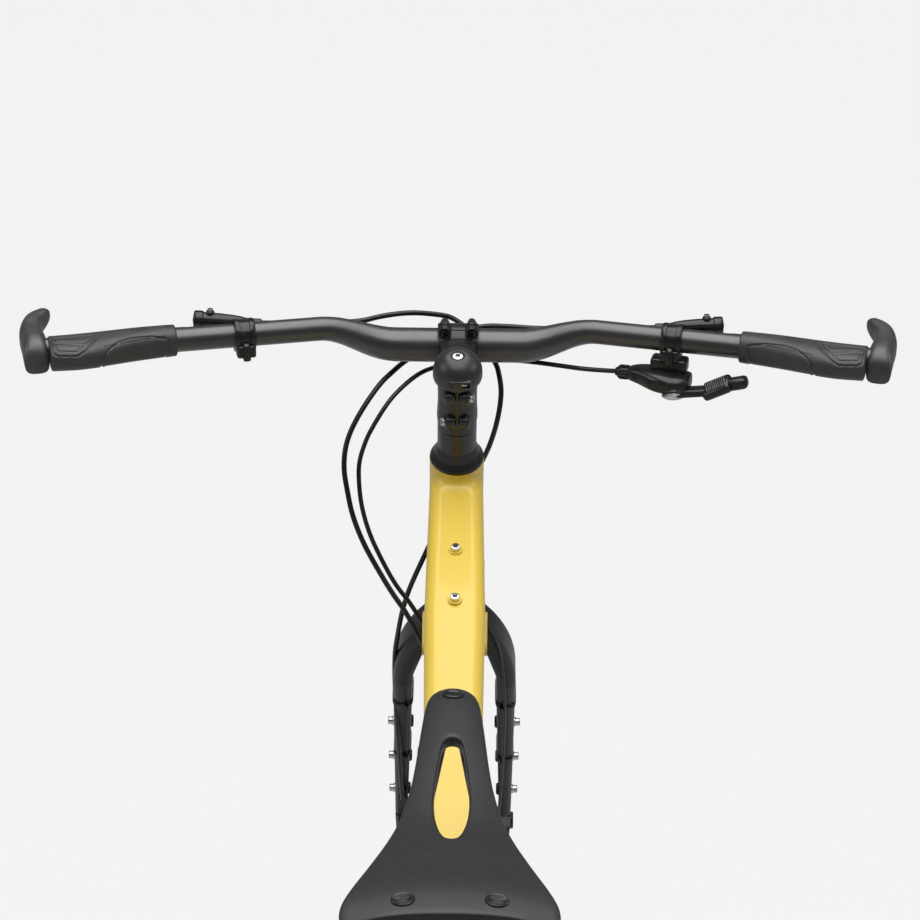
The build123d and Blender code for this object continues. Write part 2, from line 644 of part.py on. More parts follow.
# Brake controls: clamp ring, cylinder set out ahead of the bar, pivot block and lever blade
with BuildPart() as brake_body_right:
    HOLD = control(BRAKE_AT)
    BARREL = Plane(origin=HOLD.from_local_coords(Vector(4, 25, 4)),
                   z_dir=HOLD.from_local_coords(Vector(0.96, 0.26, 0.04)) - HOLD.origin)
    with BuildSketch(Plane(origin=HOLD.origin - bar_out * 7, z_dir=bar_out)):
        Circle(15.5)
    extrude(amount=14)
    with Locations(HOLD.location * Location((0, 17, 4))):
        Box(14, 18, 14)
    with Locations(HOLD.location * Location((0, -15, -3))):
        Box(12, 10, 11)
    with BuildSketch(BARREL):
        Circle(9)
    extrude(amount=33)
    with BuildSketch(BARREL.offset(33)):
        Circle(7.6)
    extrude(amount=5)
    with BuildSketch(BARREL.offset(-24)):
        Circle(4)
    extrude(amount=24)
    with Locations(HOLD.location * Location((32, 36, -6))):
        Box(18, 18, 18)
    with BuildSketch(Plane(origin=HOLD.origin - bar_out * 8, z_dir=bar_out)):
        Circle(GRIP_BAR_R + SEAT)
    extrude(amount=16, mode=Mode.SUBTRACT)
keep(brake_body_right, "brake_body_right")
keep(mirrored(brake_body_right), "brake_body_left")

with BuildPart() as lever_right:
    with BuildLine() as blade_path:
        FilletPolyline(*[HOLD.from_local_coords(Vector(*p)) for p in
                         ((36, 44, -14), (62, 56, -15), (134, 44, -16), (150, 48, -16))], radius=(16, 10))
    with BuildSketch(Plane(origin=blade_path.line @ 0, x_dir=(0, 0, 1), z_dir=blade_path.line % 0)):
        RectangleRounded(12, 7, 2.5)
    sweep(path=blade_path.line)
    add(brake_body_right.part, mode=Mode.SUBTRACT)
keep(both_sides(lever_right), "brake_levers")

# Shifter under the right side of the bar, with its two paddles
with BuildPart() as shifter:
    POD = control(SHIFTER_AT)
    with BuildSketch(Plane(origin=POD.origin - bar_out * 5, z_dir=bar_out)):
        Circle(14.5)
    extrude(amount=9)
    with Locations(POD.location * Location((-0.5, -4, -17))):
        Box(9, 18, 14)
    with Locations(POD.location * Location((10, -8, -31))):
        Box(44, 36, 18)
    fillet(shifter.edges().filter_by(Axis(POD.origin, POD.z_dir)).group_by(Axis.Z)[0], 8)
    with BuildSketch(Plane(origin=POD.from_local_coords(Vector(-11, 0, -30)), z_dir=-bar_out)):
        Circle(6)
    extrude(amount=20)
    with BuildSketch(Plane(origin=POD.origin - bar_out * 6, z_dir=bar_out)):
        Circle(GRIP_BAR_R + SEAT)
    extrude(amount=12, mode=Mode.SUBTRACT)
keep(shifter, "shifter")
with BuildPart() as shift_paddles:
    for out, ahead, up, turn, long in ((46, -28, -30, -12, 46), (38, 22, -33, 40, 34)):
        with Locations(POD.location * Location((out, ahead, up), (0, 0, turn))):
            Box(long, 14, 6)
    fillet(shift_paddles.edges().filter_by(Axis.Z), 4)
    add(shifter.part, mode=Mode.SUBTRACT)
keep(shift_paddles, "shift_paddles")

# Wheels: tyre, rim, hub with its spokes and rotor on each axle
tyre_half = [(-13, RIM_R + SEAT), (-TYRE_W / 2, RIM_R + 19), (-18, WHEEL_R - 8.5), (-6, WHEEL_R)]
rim_half = [(-8, RIM_R - RIM_DEEP + 3), (-RIM_W / 2 + 1, RIM_R - 12), (-RIM_W / 2, RIM_R - 2),
            (-RIM_W / 2 + 3, RIM_R)]
hub_tables = {
    "front": (FRONT_AXLE, -27, 27, -FRONT_HALF + 10.5,
              [(-41, 12), (-41, 22), (-36, 22), (-36, 30), (-25.4, 34), (-25.4, 31), (25.4, 31), (25.4, 34),
               (30, 34), (36, 22), (41, 20)]),
    "rear": (REAR_AXLE, -35, 19, -REAR_HALF + 15.3,
             [(-60, 12), (-60, 22), (-53, 22), (-50, 16), (-38, 18), (-36.6, 34), (-33.4, 34), (-31, 19),
              (15, 19), (17.4, 34), (20.6, 34), (22, 16.4), (66.8, 16.4)]),
}
for name, (axle, left, right, rotor_x, shell) in hub_tables.items():
    tyre = lathe(axle, tyre_half + [(-x, r) for x, r in reversed(tyre_half)], RIM_R + SEAT)
    keep(tyre, f"{name}_tyre")
    rim = lathe(axle, rim_half + [(-x, r) for x, r in reversed(rim_half)], RIM_R - RIM_DEEP)
    keep(rim, f"{name}_rim")
    with BuildPart() as hub:
        add(lathe(axle, shell, AXLE_R + RUN).part)
        for flange, rim_x, turn in ((left, -3, 0.0), (right, 3, 0.5)):
            for k in range(SPOKES // 2):
                hole = 2 * pi * (k + turn) / (SPOKES // 2)
                step = 2 * pi * (3 if k % 2 else -3) / (SPOKES // 2)
                side = 1.3 if k % 2 else -1.3
                foot = axle + Vector(flange + side, FLANGE_R * cos(hole), FLANGE_R * sin(hole))
                tip_r = RIM_R - RIM_DEEP - SEAT
                tip = axle + Vector(rim_x, tip_r * cos(hole + step), tip_r * sin(hole + step))
                with BuildSketch(Plane(origin=foot, z_dir=tip - foot)):
                    RegularPolygon(SPOKE_R, 6)
            extrude(amount=(tip - foot).length - 0.5)
    keep(hub, f"{name}_hub")
    with BuildPart() as rotor:
        with BuildSketch(Plane(origin=axle + Vector(rotor_x, 0, 0), x_dir=(0, 1, 0), z_dir=(1, 0, 0))):
            Circle(ROTOR_R)
            Circle(ROTOR_R - 14, mode=Mode.SUBTRACT)
            Circle(27)
            with PolarLocations(0, 6):
                with Locations((46, 12)):
                    Rectangle(48, 7, rotation=16)
            Circle(22 + SEAT, mode=Mode.SUBTRACT)
        extrude(amount=ROTOR_T / 2, both=True)
    keep(rotor, f"{name}_rotor")

with BuildPart() as front_axle:
    add(lathe(FRONT_AXLE, [(-FRONT_HALF - 13, AXLE_R), (FRONT_HALF + 13, AXLE_R)]).part)
    add(lathe(FRONT_AXLE, [(-FRONT_HALF, 9.5), (-FRONT_HALF + 8.5, 9.5)]).part)
    add(lathe(FRONT_AXLE, [(FRONT_HALF - 8.5, 9.5), (FRONT_HALF, 9.5)]).part)
    add(lathe(FRONT_AXLE, [(FRONT_HALF + 13, 10), (FRONT_HALF + 17, 9)]).part)
keep(front_axle, "front_axle")
with BuildPart() as rear_axle:
    add(lathe(REAR_AXLE, [(-REAR_HALF - 8, AXLE_R), (REAR_HALF + 8, AXLE_R)]).part)
    add(lathe(REAR_AXLE, [(-REAR_HALF, 9.5), (-REAR_HALF + 10.5, 9.5)]).part)
    add(lathe(REAR_AXLE, [(REAR_HALF - 3.7, 9.5), (REAR_HALF, 9.5)]).part)
    add(lathe(REAR_AXLE, [(-REAR_HALF - 12, 9), (-REAR_HALF - 8, 10)]).part)
    add(lathe(REAR_AXLE, [(REAR_HALF + 8, 10), (REAR_HALF + 10, 9)]).part)
keep(rear_axle, "rear_axle")


def caliper(axle, rotor_x, toward, reach, tie):
    """Brake caliper over the rotor's edge: toward is the way out from the axle, tie the arm to the frame."""
    out = Vector(0, toward.Y, toward.Z).normalized()
    at = axle + out * (ROTOR_R - 6) + Vector(rotor_x, 0, 0)
    grip = Plane(origin=at, x_dir=(1, 0, 0), z_dir=out)
    with BuildPart() as body:
        with Locations(grip):
            Box(23, 46, 34)
        fillet(body.edges().filter_by(Axis(at, (1, 0, 0))), 7)
        with Locations(grip.offset(-8)):
            Box(5, 60, 38, mode=Mode.SUBTRACT)
        with Locations(grip.location * Location(tie)):
            Box(reach, 40, 10)
    return body


# Calipers: the front one on the back of the left blade, the rear one between the left stays
front_caliper = caliper(FRONT_AXLE, -FRONT_HALF + 10.5, steer(0, -46, 62) - HEAD_TOP, 10, (-14.5, 6, 12))
with BuildPart() as front_brake:
    add(front_caliper.part)
    with Locations(Plane(origin=steer(-FRONT_HALF - 4, foot_ahead - 20, -AXLE_DOWN + 84), x_dir=(1, 0, 0),
                         z_dir=STEER_UP)):
        Box(9, 32, 44)
    add(fork_blade_left.part, mode=Mode.SUBTRACT)
    add(front_brake.solids().sort_by(SortBy.VOLUME)[-1], mode=Mode.REPLACE)
keep(front_brake, "front_caliper")
rear_way = (stay_out + seat_stay_dir).normalized()
rear_caliper = caliper(REAR_AXLE, -REAR_HALF + 15.3, rear_way, 8, (-13, 0, 12))
with BuildPart() as rear_brake:
    add(rear_caliper.part)
    with Locations(cross(REAR_AXLE + stay_out * 84 + Vector(-REAR_HALF - 2, 0, 22), stay_out)):
        Box(8, 36, 52)
    add(chain_stays.part, mode=Mode.SUBTRACT)
    add(seat_stays.part, mode=Mode.SUBTRACT)
keep(rear_brake, "rear_caliper")

# Cassette: eleven toothed cogs on stepped spacers


def teeth(centre, count, tip, root):
    """Corners of a toothed outline: a tip and a root for each tooth."""
    radius = PITCH / 2 / sin(pi / count)
    corners = []
    for k in range(count):
        for turn, rise in ((0.0, tip), (0.32, -root), (0.68, -root)):
            angle = 2 * pi * (k + turn) / count
            reach = radius + rise
            corners.append((centre[0] + reach * cos(angle), centre[1] + reach * sin(angle)))
    return corners


cog_radius = [PITCH / 2 / sin(pi / n) for n in COG_TEETH]
with BuildPart() as cassette:
    steps = []
    for k, count in enumerate(COG_TEETH):
        x = CHAINLINE + COG_PITCH * (CHAIN_COG - k)
        steps += [(x - 0.8, max(cog_radius[k] * 0.62, 18.4)), (x + 0.8, max(cog_radius[k] * 0.62, 18.4))]
        with BuildSketch(Plane(origin=REAR_AXLE + Vector(x - 0.8, 0, 0), x_dir=(0, 1, 0), z_dir=(1, 0, 0))):
            Polygon(*teeth((0, 0), count, 3.2, 3.6), align=None)
    extrude(amount=1.6)
    core = sorted(steps)
    add(lathe(REAR_AXLE, core).part)
    with BuildSketch(Plane(origin=REAR_AXLE, x_dir=(0, 1, 0), z_dir=(1, 0, 0))):
        Circle(16.4 + SEAT)
    extrude(amount=90, mode=Mode.SUBTRACT)
keep(cassette, "cassette")

# Bottom bracket cups and the crankset
with BuildPart() as cups:
    for a, b in ((BB_HALF, BB_HALF + 8.5), (-BB_HALF - 8.5, -BB_HALF)):
        add(lathe(BB, [(a, 21), (b, 21)], SPINDLE_R + RUN).part)
keep(cups, "bottom_bracket_cups")

ARM_IN = 55.0
RING_SIDE = Plane(origin=BB + Vector(CHAINLINE, 0, 0), x_dir=(0, 1, 0), z_dir=(1, 0, 0))


def crank(forward):
    """A crank arm with its pedal axle: forward is 1 for the right side at rest, -1 for the left."""
    with BuildPart() as arm:
        add(lathe(BB, [(ARM_IN, 19), (ARM_IN + 15, 17)], 0).part)
        for ahead, x, wide, deep in ((8, ARM_IN + 7.5, 14, 34), (CRANK - 12, ARM_IN + 12, 12, 24)):
            middle = BB + Vector(x, forward * ahead, 0)
            with BuildSketch(Plane(origin=middle, x_dir=(1, 0, 0), z_dir=(0, forward, 0))):
                RectangleRounded(wide, deep, 4)
        loft()
        pedal = BB + Vector(0, forward * CRANK, 0)
        add(lathe(pedal, [(ARM_IN + 6, 14), (ARM_IN + 18, 14)]).part)
        add(lathe(pedal, [(ARM_IN + 17, PEDAL_PIN_R), (ARM_IN + 24 + PEDAL_W - 6, PEDAL_PIN_R)]).part)
    return arm


with BuildPart() as crank_right:
    add(crank(1).part)
    add(lathe(BB, [(-ARM_IN, SPINDLE_R), (ARM_IN, SPINDLE_R)]).part)
    with BuildSketch(RING_SIDE.offset(1)):
        with PolarLocations(0, 4, start_angle=45):
            with Locations((36, 0)):
                RectangleRounded(46, 16, 6)
        Circle(24)
    extrude(amount=ARM_IN - CHAINLINE)
    with BuildSketch(RING_SIDE.offset(-3)):
        Circle(20.9 + 1)
        Circle(SPINDLE_R, mode=Mode.SUBTRACT)
    extrude(amount=4.6, mode=Mode.SUBTRACT)
keep(crank_right, "crank_right")
keep(mirrored(crank(-1)), "crank_left")

ring_r = PITCH / 2 / sin(pi / RING_TEETH)
with BuildPart() as chainring:
    with BuildSketch(RING_SIDE):
        Polygon(*teeth((0, 0), RING_TEETH, 3.4, 3.8), align=None)
        Circle(46, mode=Mode.SUBTRACT)
    extrude(amount=1, both=True)
keep(chainring, "chainring")

# Pedals: a platform with two windows, turning on its axle
with BuildPart() as pedal_right:
    middle = BB + Vector(ARM_IN + 24 + PEDAL_W / 2, CRANK, 0)
    with Locations(Plane(origin=middle)):
        Box(PEDAL_W, PEDAL_LONG, 15)
    fillet(pedal_right.edges().filter_by(Axis.Z), 12)
    with Locations(Plane(origin=middle)):
        with GridLocations(0, 56, 1, 2):
            Box(PEDAL_W - 26, 28, 20, mode=Mode.SUBTRACT)
    with BuildSketch(Plane(origin=middle - Vector(PEDAL_W / 2, 0, 0), z_dir=(1, 0, 0))):
        Circle(10.5)
    extrude(amount=PEDAL_W)
    with BuildSketch(Plane(origin=middle - Vector(PEDAL_W / 2, 0, 0), z_dir=(1, 0, 0))):
        Circle(PEDAL_PIN_R + RUN)
    extrude(amount=PEDAL_W - 5, mode=Mode.SUBTRACT)
keep(pedal_right, "pedal_right")
with BuildPart() as pedal_left:
    with Locations(Location((0, -2 * CRANK, 0))):
        add(mirrored(pedal_right).part)
keep(pedal_left, "pedal_left")

# Rear derailleur: knuckle on the hanger, links, cage plates and two toothed wheels
pulley_r = PITCH / 2 / sin(pi / PULLEY_TEETH)
guide = REAR_AXLE + Vector(0, 12, -96)
tension = REAR_AXLE + Vector(0, 34, -176)
CHAIN_SIDE = Plane(origin=(CHAINLINE, 0, 0), x_dir=(0, 1, 0), z_dir=(1, 0, 0))
with BuildPart() as derailleur:
    add(lathe(hanger, [(REAR_HALF + 8, 12), (REAR_HALF + 22, 11)]).part)
    knuckle = guide + Vector(0, 2, 12)
    add(lathe(knuckle, [(CHAINLINE + 7, 14), (CHAINLINE + 24, 12)]).part)
    link_from = hanger + Vector(REAR_HALF + 15, 0, -12)
    link_to = knuckle + Vector(CHAINLINE + 18, 0, 0)
    for at in (link_from, link_to):
        with BuildSketch(Plane(origin=at, x_dir=(0, 1, 0), z_dir=link_to - link_from)):
            RectangleRounded(26, 12, 4)
    loft()
    for x in (-7.5, 5.5):
        with BuildSketch(CHAIN_SIDE.offset(x)):
            for spot, size in ((guide, 16), (tension, 13)):
                with Locations((spot.Y, spot.Z)):
                    Circle(size)
            cage = (tension - guide).normalized()
            side = Vector(0, -cage.Z, cage.Y) * 9
            corners = [guide + side, tension + side, tension - side, guide - side]
            Polygon(*[(c.Y, c.Z) for c in corners], align=None)
        extrude(amount=2)
    for spot in (guide, tension):
        add(lathe(spot, [(CHAINLINE - 7, 3.2), (CHAINLINE + 7, 3.2)]).part)
keep(derailleur, "rear_derailleur")
with BuildPart() as jockey_wheels:
    for spot in (guide, tension):
        with BuildSketch(CHAIN_SIDE.offset(-1)):
            Polygon(*teeth((spot.Y, spot.Z), PULLEY_TEETH, 2.6, 3.4), align=None)
            with Locations((spot.Y, spot.Z)):
                Circle(3.2 + SEAT, mode=Mode.SUBTRACT)
        extrude(amount=2)
keep(jockey_wheels, "jockey_wheels")

# Chain: two rows of plates, the outer one narrowed at each link, joined by rollers along the straight runs.
# Each stop has its centre, radius and sense: 1 turns left along the chain's travel, -1 turns right.
stops = [(REAR_AXLE, cog_radius[CHAIN_COG], -1), (BB, ring_r, -1), (tension, pulley_r, -1),
         (guide, pulley_r, 1)]
runs = []
for k, (here, r_here, turn_here) in enumerate(stops):
    there, r_there, turn_there = stops[(k + 1) % len(stops)]
    gap = there - here
    heading = atan2(gap.Z, gap.Y) - asin((turn_there * r_there - turn_here * r_here) / hypot(gap.Y, gap.Z))
    travel = Vector(0, cos(heading), sin(heading))
    left = Vector(0, -sin(heading), cos(heading))
    runs.append((here - left * turn_here * r_here, there - left * turn_there * r_there, travel, left))


def loop_edges(side, waisted):
    """Edges of a plate row's outline on its left (1) or right (-1) side, narrowed at each link or plain."""
    for k, (start, end, travel, left) in enumerate(runs):
        long = (end - start).length
        links = int(long / PITCH)
        points = [start + left * side * PLATE_HALF]
        for n in range(links if waisted and long > 4 * PITCH else 0):
            points.append(start + travel * PITCH * (n + 0.5) + left * side * PLATE_WAIST)
            points.append(start + travel * PITCH * (n + 1) + left * side * PLATE_HALF)
        points.append(end + left * side * PLATE_HALF)
        flat = [(p.Y, p.Z) for p in points]
        Polyline(*flat)
        centre, radius, turn = stops[(k + 1) % len(stops)]
        after = runs[(k + 1) % len(runs)]
        a_in = atan2((end - centre).Z, (end - centre).Y)
        a_out = atan2((after[0] - centre).Z, (after[0] - centre).Y)
        half = turn * ((turn * (a_out - a_in)) % (2 * pi)) / 2
        r_side = radius - turn * side * PLATE_HALF
        mid = (centre.Y + r_side * cos(a_in + half), centre.Z + r_side * sin(a_in + half))
        out = after[0] + after[3] * side * PLATE_HALF
        ThreePointArc(flat[-1], mid, (out.Y, out.Z))


with BuildPart() as chain:
    for x, waisted in ((-2.6, False), (1.5, True)):
        with BuildSketch(CHAIN_SIDE.offset(x)):
            for side, mode in ((1, Mode.ADD), (-1, Mode.SUBTRACT)):
                with BuildLine():
                    loop_edges(side, waisted)
                make_face(mode=mode)
        extrude(amount=1.1)
    for start, end, travel, left in runs[:2]:
        with BuildSketch(CHAIN_SIDE.offset(-1.6)):
            corners = [start + travel * 42 + left * 2.4, end - travel * 42 + left * 2.4,
                       end - travel * 42 - left * 2.4, start + travel * 42 - left * 2.4]
            Polygon(*[(c.Y, c.Z) for c in corners], align=None)
        extrude(amount=3.2)
keep(chain, "chain")

# Front brake hose: over the bar, round the right of the head tube, down the back of the left blade
blade_back = -CROWN_DEEP / 2 + CROWN_AHEAD - 4
lever_port = BARREL.offset(-24.6).origin


def by_bar(x, ahead, up):
    """A point by the handlebar: right, ahead of its middle, above it."""
    return BAR_MID + Vector(x, ahead, up)


front_hose = hose([(-lever_port.X, lever_port.Y, lever_port.Z), by_bar(-150, 8, 29), by_bar(-75, 36, 23),
                   by_bar(-5, 54, 11), by_bar(38, 36, -37), by_bar(42, 12, -72), by_bar(30, 4, -122),
                   by_bar(-12, 22, -181), steer(-50, -1, -RACE - 6), steer(-62, blade_back - 4, -RACE - 84),
                   steer(-58, blade_back + 6, -RACE - 220),
                   steer(-FRONT_HALF - 4, foot_ahead - 42, -AXLE_DOWN + 112)], 2.5, 16)
keep(front_hose, "front_brake_hose")

# Dynamo wire: from the hub's right side up the back of the right blade to the crown
dynamo_wire = hose([steer(46, RAKE - 18, -AXLE_DOWN + 8), steer(46, RAKE - 44, -AXLE_DOWN + 30),
                    steer(52, foot_ahead - 29, -AXLE_DOWN + 110), steer(52, blade_back - 3, -RACE - 90),
                    steer(26, blade_back + 1.5, -RACE - 30)], 1.6, 10)
keep(dynamo_wire, "dynamo_wire")

# Rear brake hose and shift housing: across ahead of the stem, a loop at the left, into the down tube's port
port_in = Vector(-DOWN_W_HEAD / 2 - 8.2, port.Y, port.Z)
rear_hose = hose([lever_port, by_bar(120, 24, 1), by_bar(50, 54, -17), by_bar(-30, 50, -23),
                  by_bar(-74, 8, -39), by_bar(-100, -34, -83), by_bar(-104, -52, -127),
                  by_bar(-86, -70, -189),
                  port_in + down_normal * 5 + Vector(-8, 14, 20), port_in + down_normal * 5], 2.5, 14)
keep(rear_hose, "rear_brake_hose")
shift_port = POD.from_local_coords(Vector(-32, 0, -30))
shift_run = hose([shift_port, by_bar(110, -8, -24), by_bar(60, 22, -30), by_bar(-10, 24, -33),
                  by_bar(-48, 2, -51), by_bar(-88, -42, -99), by_bar(-90, -58, -139), by_bar(-68, -74, -195),
                  port_in - down_normal * 5 + Vector(-4, 14, 20), port_in - down_normal * 5], 2.2, 14)
keep(shift_run, "shift_housing")

# Rear lines: the hose and housing leave under the bottom bracket and follow the chain stays
tail_start = BB + Vector(0, 14, -BB_SHELL_R - 9)


def by_stay(from_axle, x, up):
    """A point beside a chain stay, at a distance ahead of the axle."""
    return REAR_AXLE + stay_out * from_axle + Vector(x, 0, up)


with BuildPart() as rear_lines:
    add(hose([tail_start - Vector(10, 0, 0), by_stay(CHAINSTAY - 40, -28, -22), by_stay(200, -56, -19),
              by_stay(160, -44, -10), by_stay(142, -46, 8), by_stay(124, -60, 28),
              by_stay(112.2, -REAR_HALF - 1, 26)], 2.5, 7).part)
    add(hose([tail_start + Vector(10, 0, 0), by_stay(CHAINSTAY - 40, 28, -22), by_stay(160, 62, -19),
              by_stay(60, REAR_HALF + 14, -22), by_stay(0, REAR_HALF + 18, -4) - Vector(0, 50, 0),
              by_stay(0, REAR_HALF + 18, -32) - Vector(0, 58, 0),
              by_stay(0, REAR_HALF + 16, -32) - Vector(0, 16.5, 0)], 2.2, 10).part)
keep(rear_lines, "rear_lines")
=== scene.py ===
from math import asin, atan2, cos, floor, hypot, pi, radians, sin, tan

import bmesh
import bpy
from mathutils import Matrix, Vector


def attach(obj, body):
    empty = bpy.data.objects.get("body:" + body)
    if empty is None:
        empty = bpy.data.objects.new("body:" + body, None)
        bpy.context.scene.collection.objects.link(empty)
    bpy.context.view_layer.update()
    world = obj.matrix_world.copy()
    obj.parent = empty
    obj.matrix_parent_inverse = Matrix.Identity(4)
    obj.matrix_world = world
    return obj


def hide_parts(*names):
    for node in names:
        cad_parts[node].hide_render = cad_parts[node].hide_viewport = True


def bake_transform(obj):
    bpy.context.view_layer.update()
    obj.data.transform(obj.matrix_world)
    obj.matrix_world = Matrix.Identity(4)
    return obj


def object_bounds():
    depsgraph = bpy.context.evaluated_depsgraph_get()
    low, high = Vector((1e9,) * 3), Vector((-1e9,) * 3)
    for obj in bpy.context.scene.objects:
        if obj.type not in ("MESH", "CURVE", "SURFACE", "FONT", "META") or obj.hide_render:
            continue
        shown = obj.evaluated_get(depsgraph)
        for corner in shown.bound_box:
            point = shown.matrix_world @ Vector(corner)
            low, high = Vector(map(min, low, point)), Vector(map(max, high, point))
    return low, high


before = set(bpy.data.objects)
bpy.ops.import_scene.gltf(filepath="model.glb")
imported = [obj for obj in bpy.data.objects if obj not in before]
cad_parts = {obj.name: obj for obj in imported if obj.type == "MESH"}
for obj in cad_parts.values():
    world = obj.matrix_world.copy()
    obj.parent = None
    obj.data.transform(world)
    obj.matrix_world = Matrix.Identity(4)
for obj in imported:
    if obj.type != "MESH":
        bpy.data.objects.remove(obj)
cad_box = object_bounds()

# Frame: drawn alloy tubes, welded, the beads filed smooth, then painted yellow under clear lacquer.
# The tubes are the solids themselves. The paint is a little deeper in tone where it lies thick.


def feed(tree, node, inputs):
    """Gives a node's inputs their numbers, or the outputs of other nodes."""
    for name, value in inputs.items():
        if isinstance(value, bpy.types.NodeSocket):
            tree.links.new(value, node.inputs[name])
        else:
            node.inputs[name].default_value = value


def outputs_of(tree, kind, inputs):
    """Outputs of a new node that is fed so."""
    node = tree.nodes.new("ShaderNode" + kind)
    feed(tree, node, inputs)
    return node.outputs


def finish(name, dark, light, rough, cloud, grain=0.0, relief=0.0, metal=0.0, sockets=()):
    """A finish whose tone and gloss drift over the piece, with a fine grain in relief."""
    made = bpy.data.materials.new(name)
    made.use_nodes = True
    tree = made.node_tree
    spot = outputs_of(tree, "TexCoord", {})["Object"]
    drift = outputs_of(tree, "TexNoise", {"Vector": spot, "Scale": cloud, "Detail": 5})["Fac"]
    tone = tree.nodes.new("ShaderNodeValToRGB")
    for step, position, colour in zip(tone.color_ramp.elements, (0.36, 0.64), (dark, light)):
        step.position = position
        step.color = (*colour, 1)
    feed(tree, tone, {"Fac": drift})
    gloss = outputs_of(tree, "MapRange", {"Value": drift, "From Min": 0.3, "From Max": 0.7,
                                          "To Min": rough[0], "To Max": rough[1]})
    surface = {"Metallic": metal, "Base Color": tone.outputs["Color"], "Roughness": gloss["Result"]}
    if relief:
        pores = outputs_of(tree, "TexNoise", {"Vector": spot, "Scale": grain, "Detail": 3})["Fac"]
        bump = outputs_of(tree, "Bump", {"Height": pores, "Strength": 0.6, "Distance": relief})
        surface["Normal"] = bump["Normal"]
    feed(tree, tree.nodes["Principled BSDF"], {**surface, **dict(sockets)})
    return made


def dress(made, *names):
    """Gives solids of the frame their finish."""
    for name in names:
        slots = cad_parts[name].data.materials
        slots.clear()
        slots.append(made)


yellow_paint = finish("yellow_paint", (0.85, 0.60, 0.075), (0.88, 0.63, 0.090), (0.40, 0.48), 9, 900, 0.00003,
                      sockets=(("Coat Weight", 0.35), ("Coat Roughness", 0.10)))
dress(yellow_paint, "head_tube", "top_tube", "down_tube", "seat_tube", "bottom_bracket_shell", "chain_stays",
      "seat_stays", "stay_bridge", "dropouts")

# Boss bolts: short stainless socket screws with a collar, two on the top tube, four for bottles and three on
# the outer side of each fork blade. Each blade also shows the blind ends of its threaded bosses inside.


def moved(x, y, z):
    """A shift along a place's own axes."""
    return Matrix.Translation((x, y, z))


def spun(degrees, axis):
    """A turn about one of a place's own axes."""
    return Matrix.Rotation(radians(degrees), 4, axis)


def facing(spot, out, side=(1, 0, 0)):
    """A place at a spot, its Z the way out and its X as near the side as can be."""
    up = Vector(out).normalized()
    across = Vector(side) - up * up.dot(Vector(side))
    across.normalize()
    place = Matrix((across, up.cross(across), up)).transposed().to_4x4()
    place.translation = Vector(spot)
    return place


def turned(profile, steps=32):
    """A part spun from a profile of radius and height, about its own Z."""
    part = bmesh.new()
    line = [part.verts.new((radius, 0, height)) for radius, height in profile]
    edges = [part.edges.new(pair) for pair in zip(line, line[1:])]
    bmesh.ops.spin(part, geom=line + edges, cent=(0, 0, 0), axis=(0, 0, 1), angle=2 * pi, steps=steps,
                   use_merge=True)
    bmesh.ops.remove_doubles(part, verts=part.verts, dist=1e-6)
    bmesh.ops.recalc_face_normals(part, faces=part.faces)
    return part


def eased(part, edges, by, steps):
    """Rounds some edges of a part."""
    bmesh.ops.bevel(part, geom=edges, offset=by, segments=steps, affect="EDGES", profile=0.5, material=-1)


def socket_screw(head, tall, key):
    """A cylinder-head screw with a hexagon socket, standing on its own XY plane."""
    part = bmesh.new()
    bmesh.ops.create_circle(part, cap_ends=True, radius=head, segments=24)
    bmesh.ops.extrude_face_region(part, geom=part.faces[:])
    part.faces.ensure_lookup_table()
    lifted = [f for f in part.faces if len(f.verts) == 24][-1]
    bmesh.ops.translate(part, verts=lifted.verts, vec=(0, 0, tall))
    eased(part, lifted.edges[:], head * 0.18, 2)
    lifted = max((f for f in part.faces if len(f.verts) == 24), key=lambda f: f.calc_center_median().z)
    bmesh.ops.inset_region(part, faces=[lifted], thickness=head * 0.2)
    for corner in lifted.verts:
        turn = atan2(corner.co.y, corner.co.x) % (pi / 3) - pi / 6
        size = key * cos(pi / 6) / cos(turn)
        corner.co.xy = corner.co.xy.normalized() * size
    well = bmesh.ops.extrude_face_region(part, geom=[lifted])
    sunk = [v for v in well["geom"] if isinstance(v, bmesh.types.BMVert)]
    bmesh.ops.translate(part, verts=sunk, vec=(0, 0, -tall * 0.6))
    bmesh.ops.delete(part, geom=[lifted], context="FACES_ONLY")
    bmesh.ops.recalc_face_normals(part, faces=part.faces)
    return part


def gather(whole, part, *places):
    """Adds a copy of a part to the whole at each place, and hands the whole back."""
    shape = bpy.data.meshes.new("copy")
    part.to_mesh(shape)
    part.free()
    for place in places:
        here = shape.copy()
        here.transform(place)
        whole.from_mesh(here)
        bpy.data.meshes.remove(here)
    bpy.data.meshes.remove(shape)
    return whole


def hung(name, data):
    """A new object in the scene."""
    thing = bpy.data.objects.new(name, data)
    bpy.context.scene.collection.objects.link(thing)
    return thing


def show(name, whole, made, body, slot, *stands_for, sharp=38):
    """Makes a finished shape a piece that rides on its body."""
    mesh = bpy.data.meshes.new(name)
    bmesh.ops.recalc_face_normals(whole, faces=whole.faces)
    whole.to_mesh(mesh)
    whole.free()
    mesh.materials.append(made)
    mesh.shade_smooth()
    mesh.set_sharp_from_angle(angle=radians(sharp))
    piece = hung(name, mesh)
    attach(piece, body)
    if stands_for:
        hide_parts(*stands_for)
    return piece


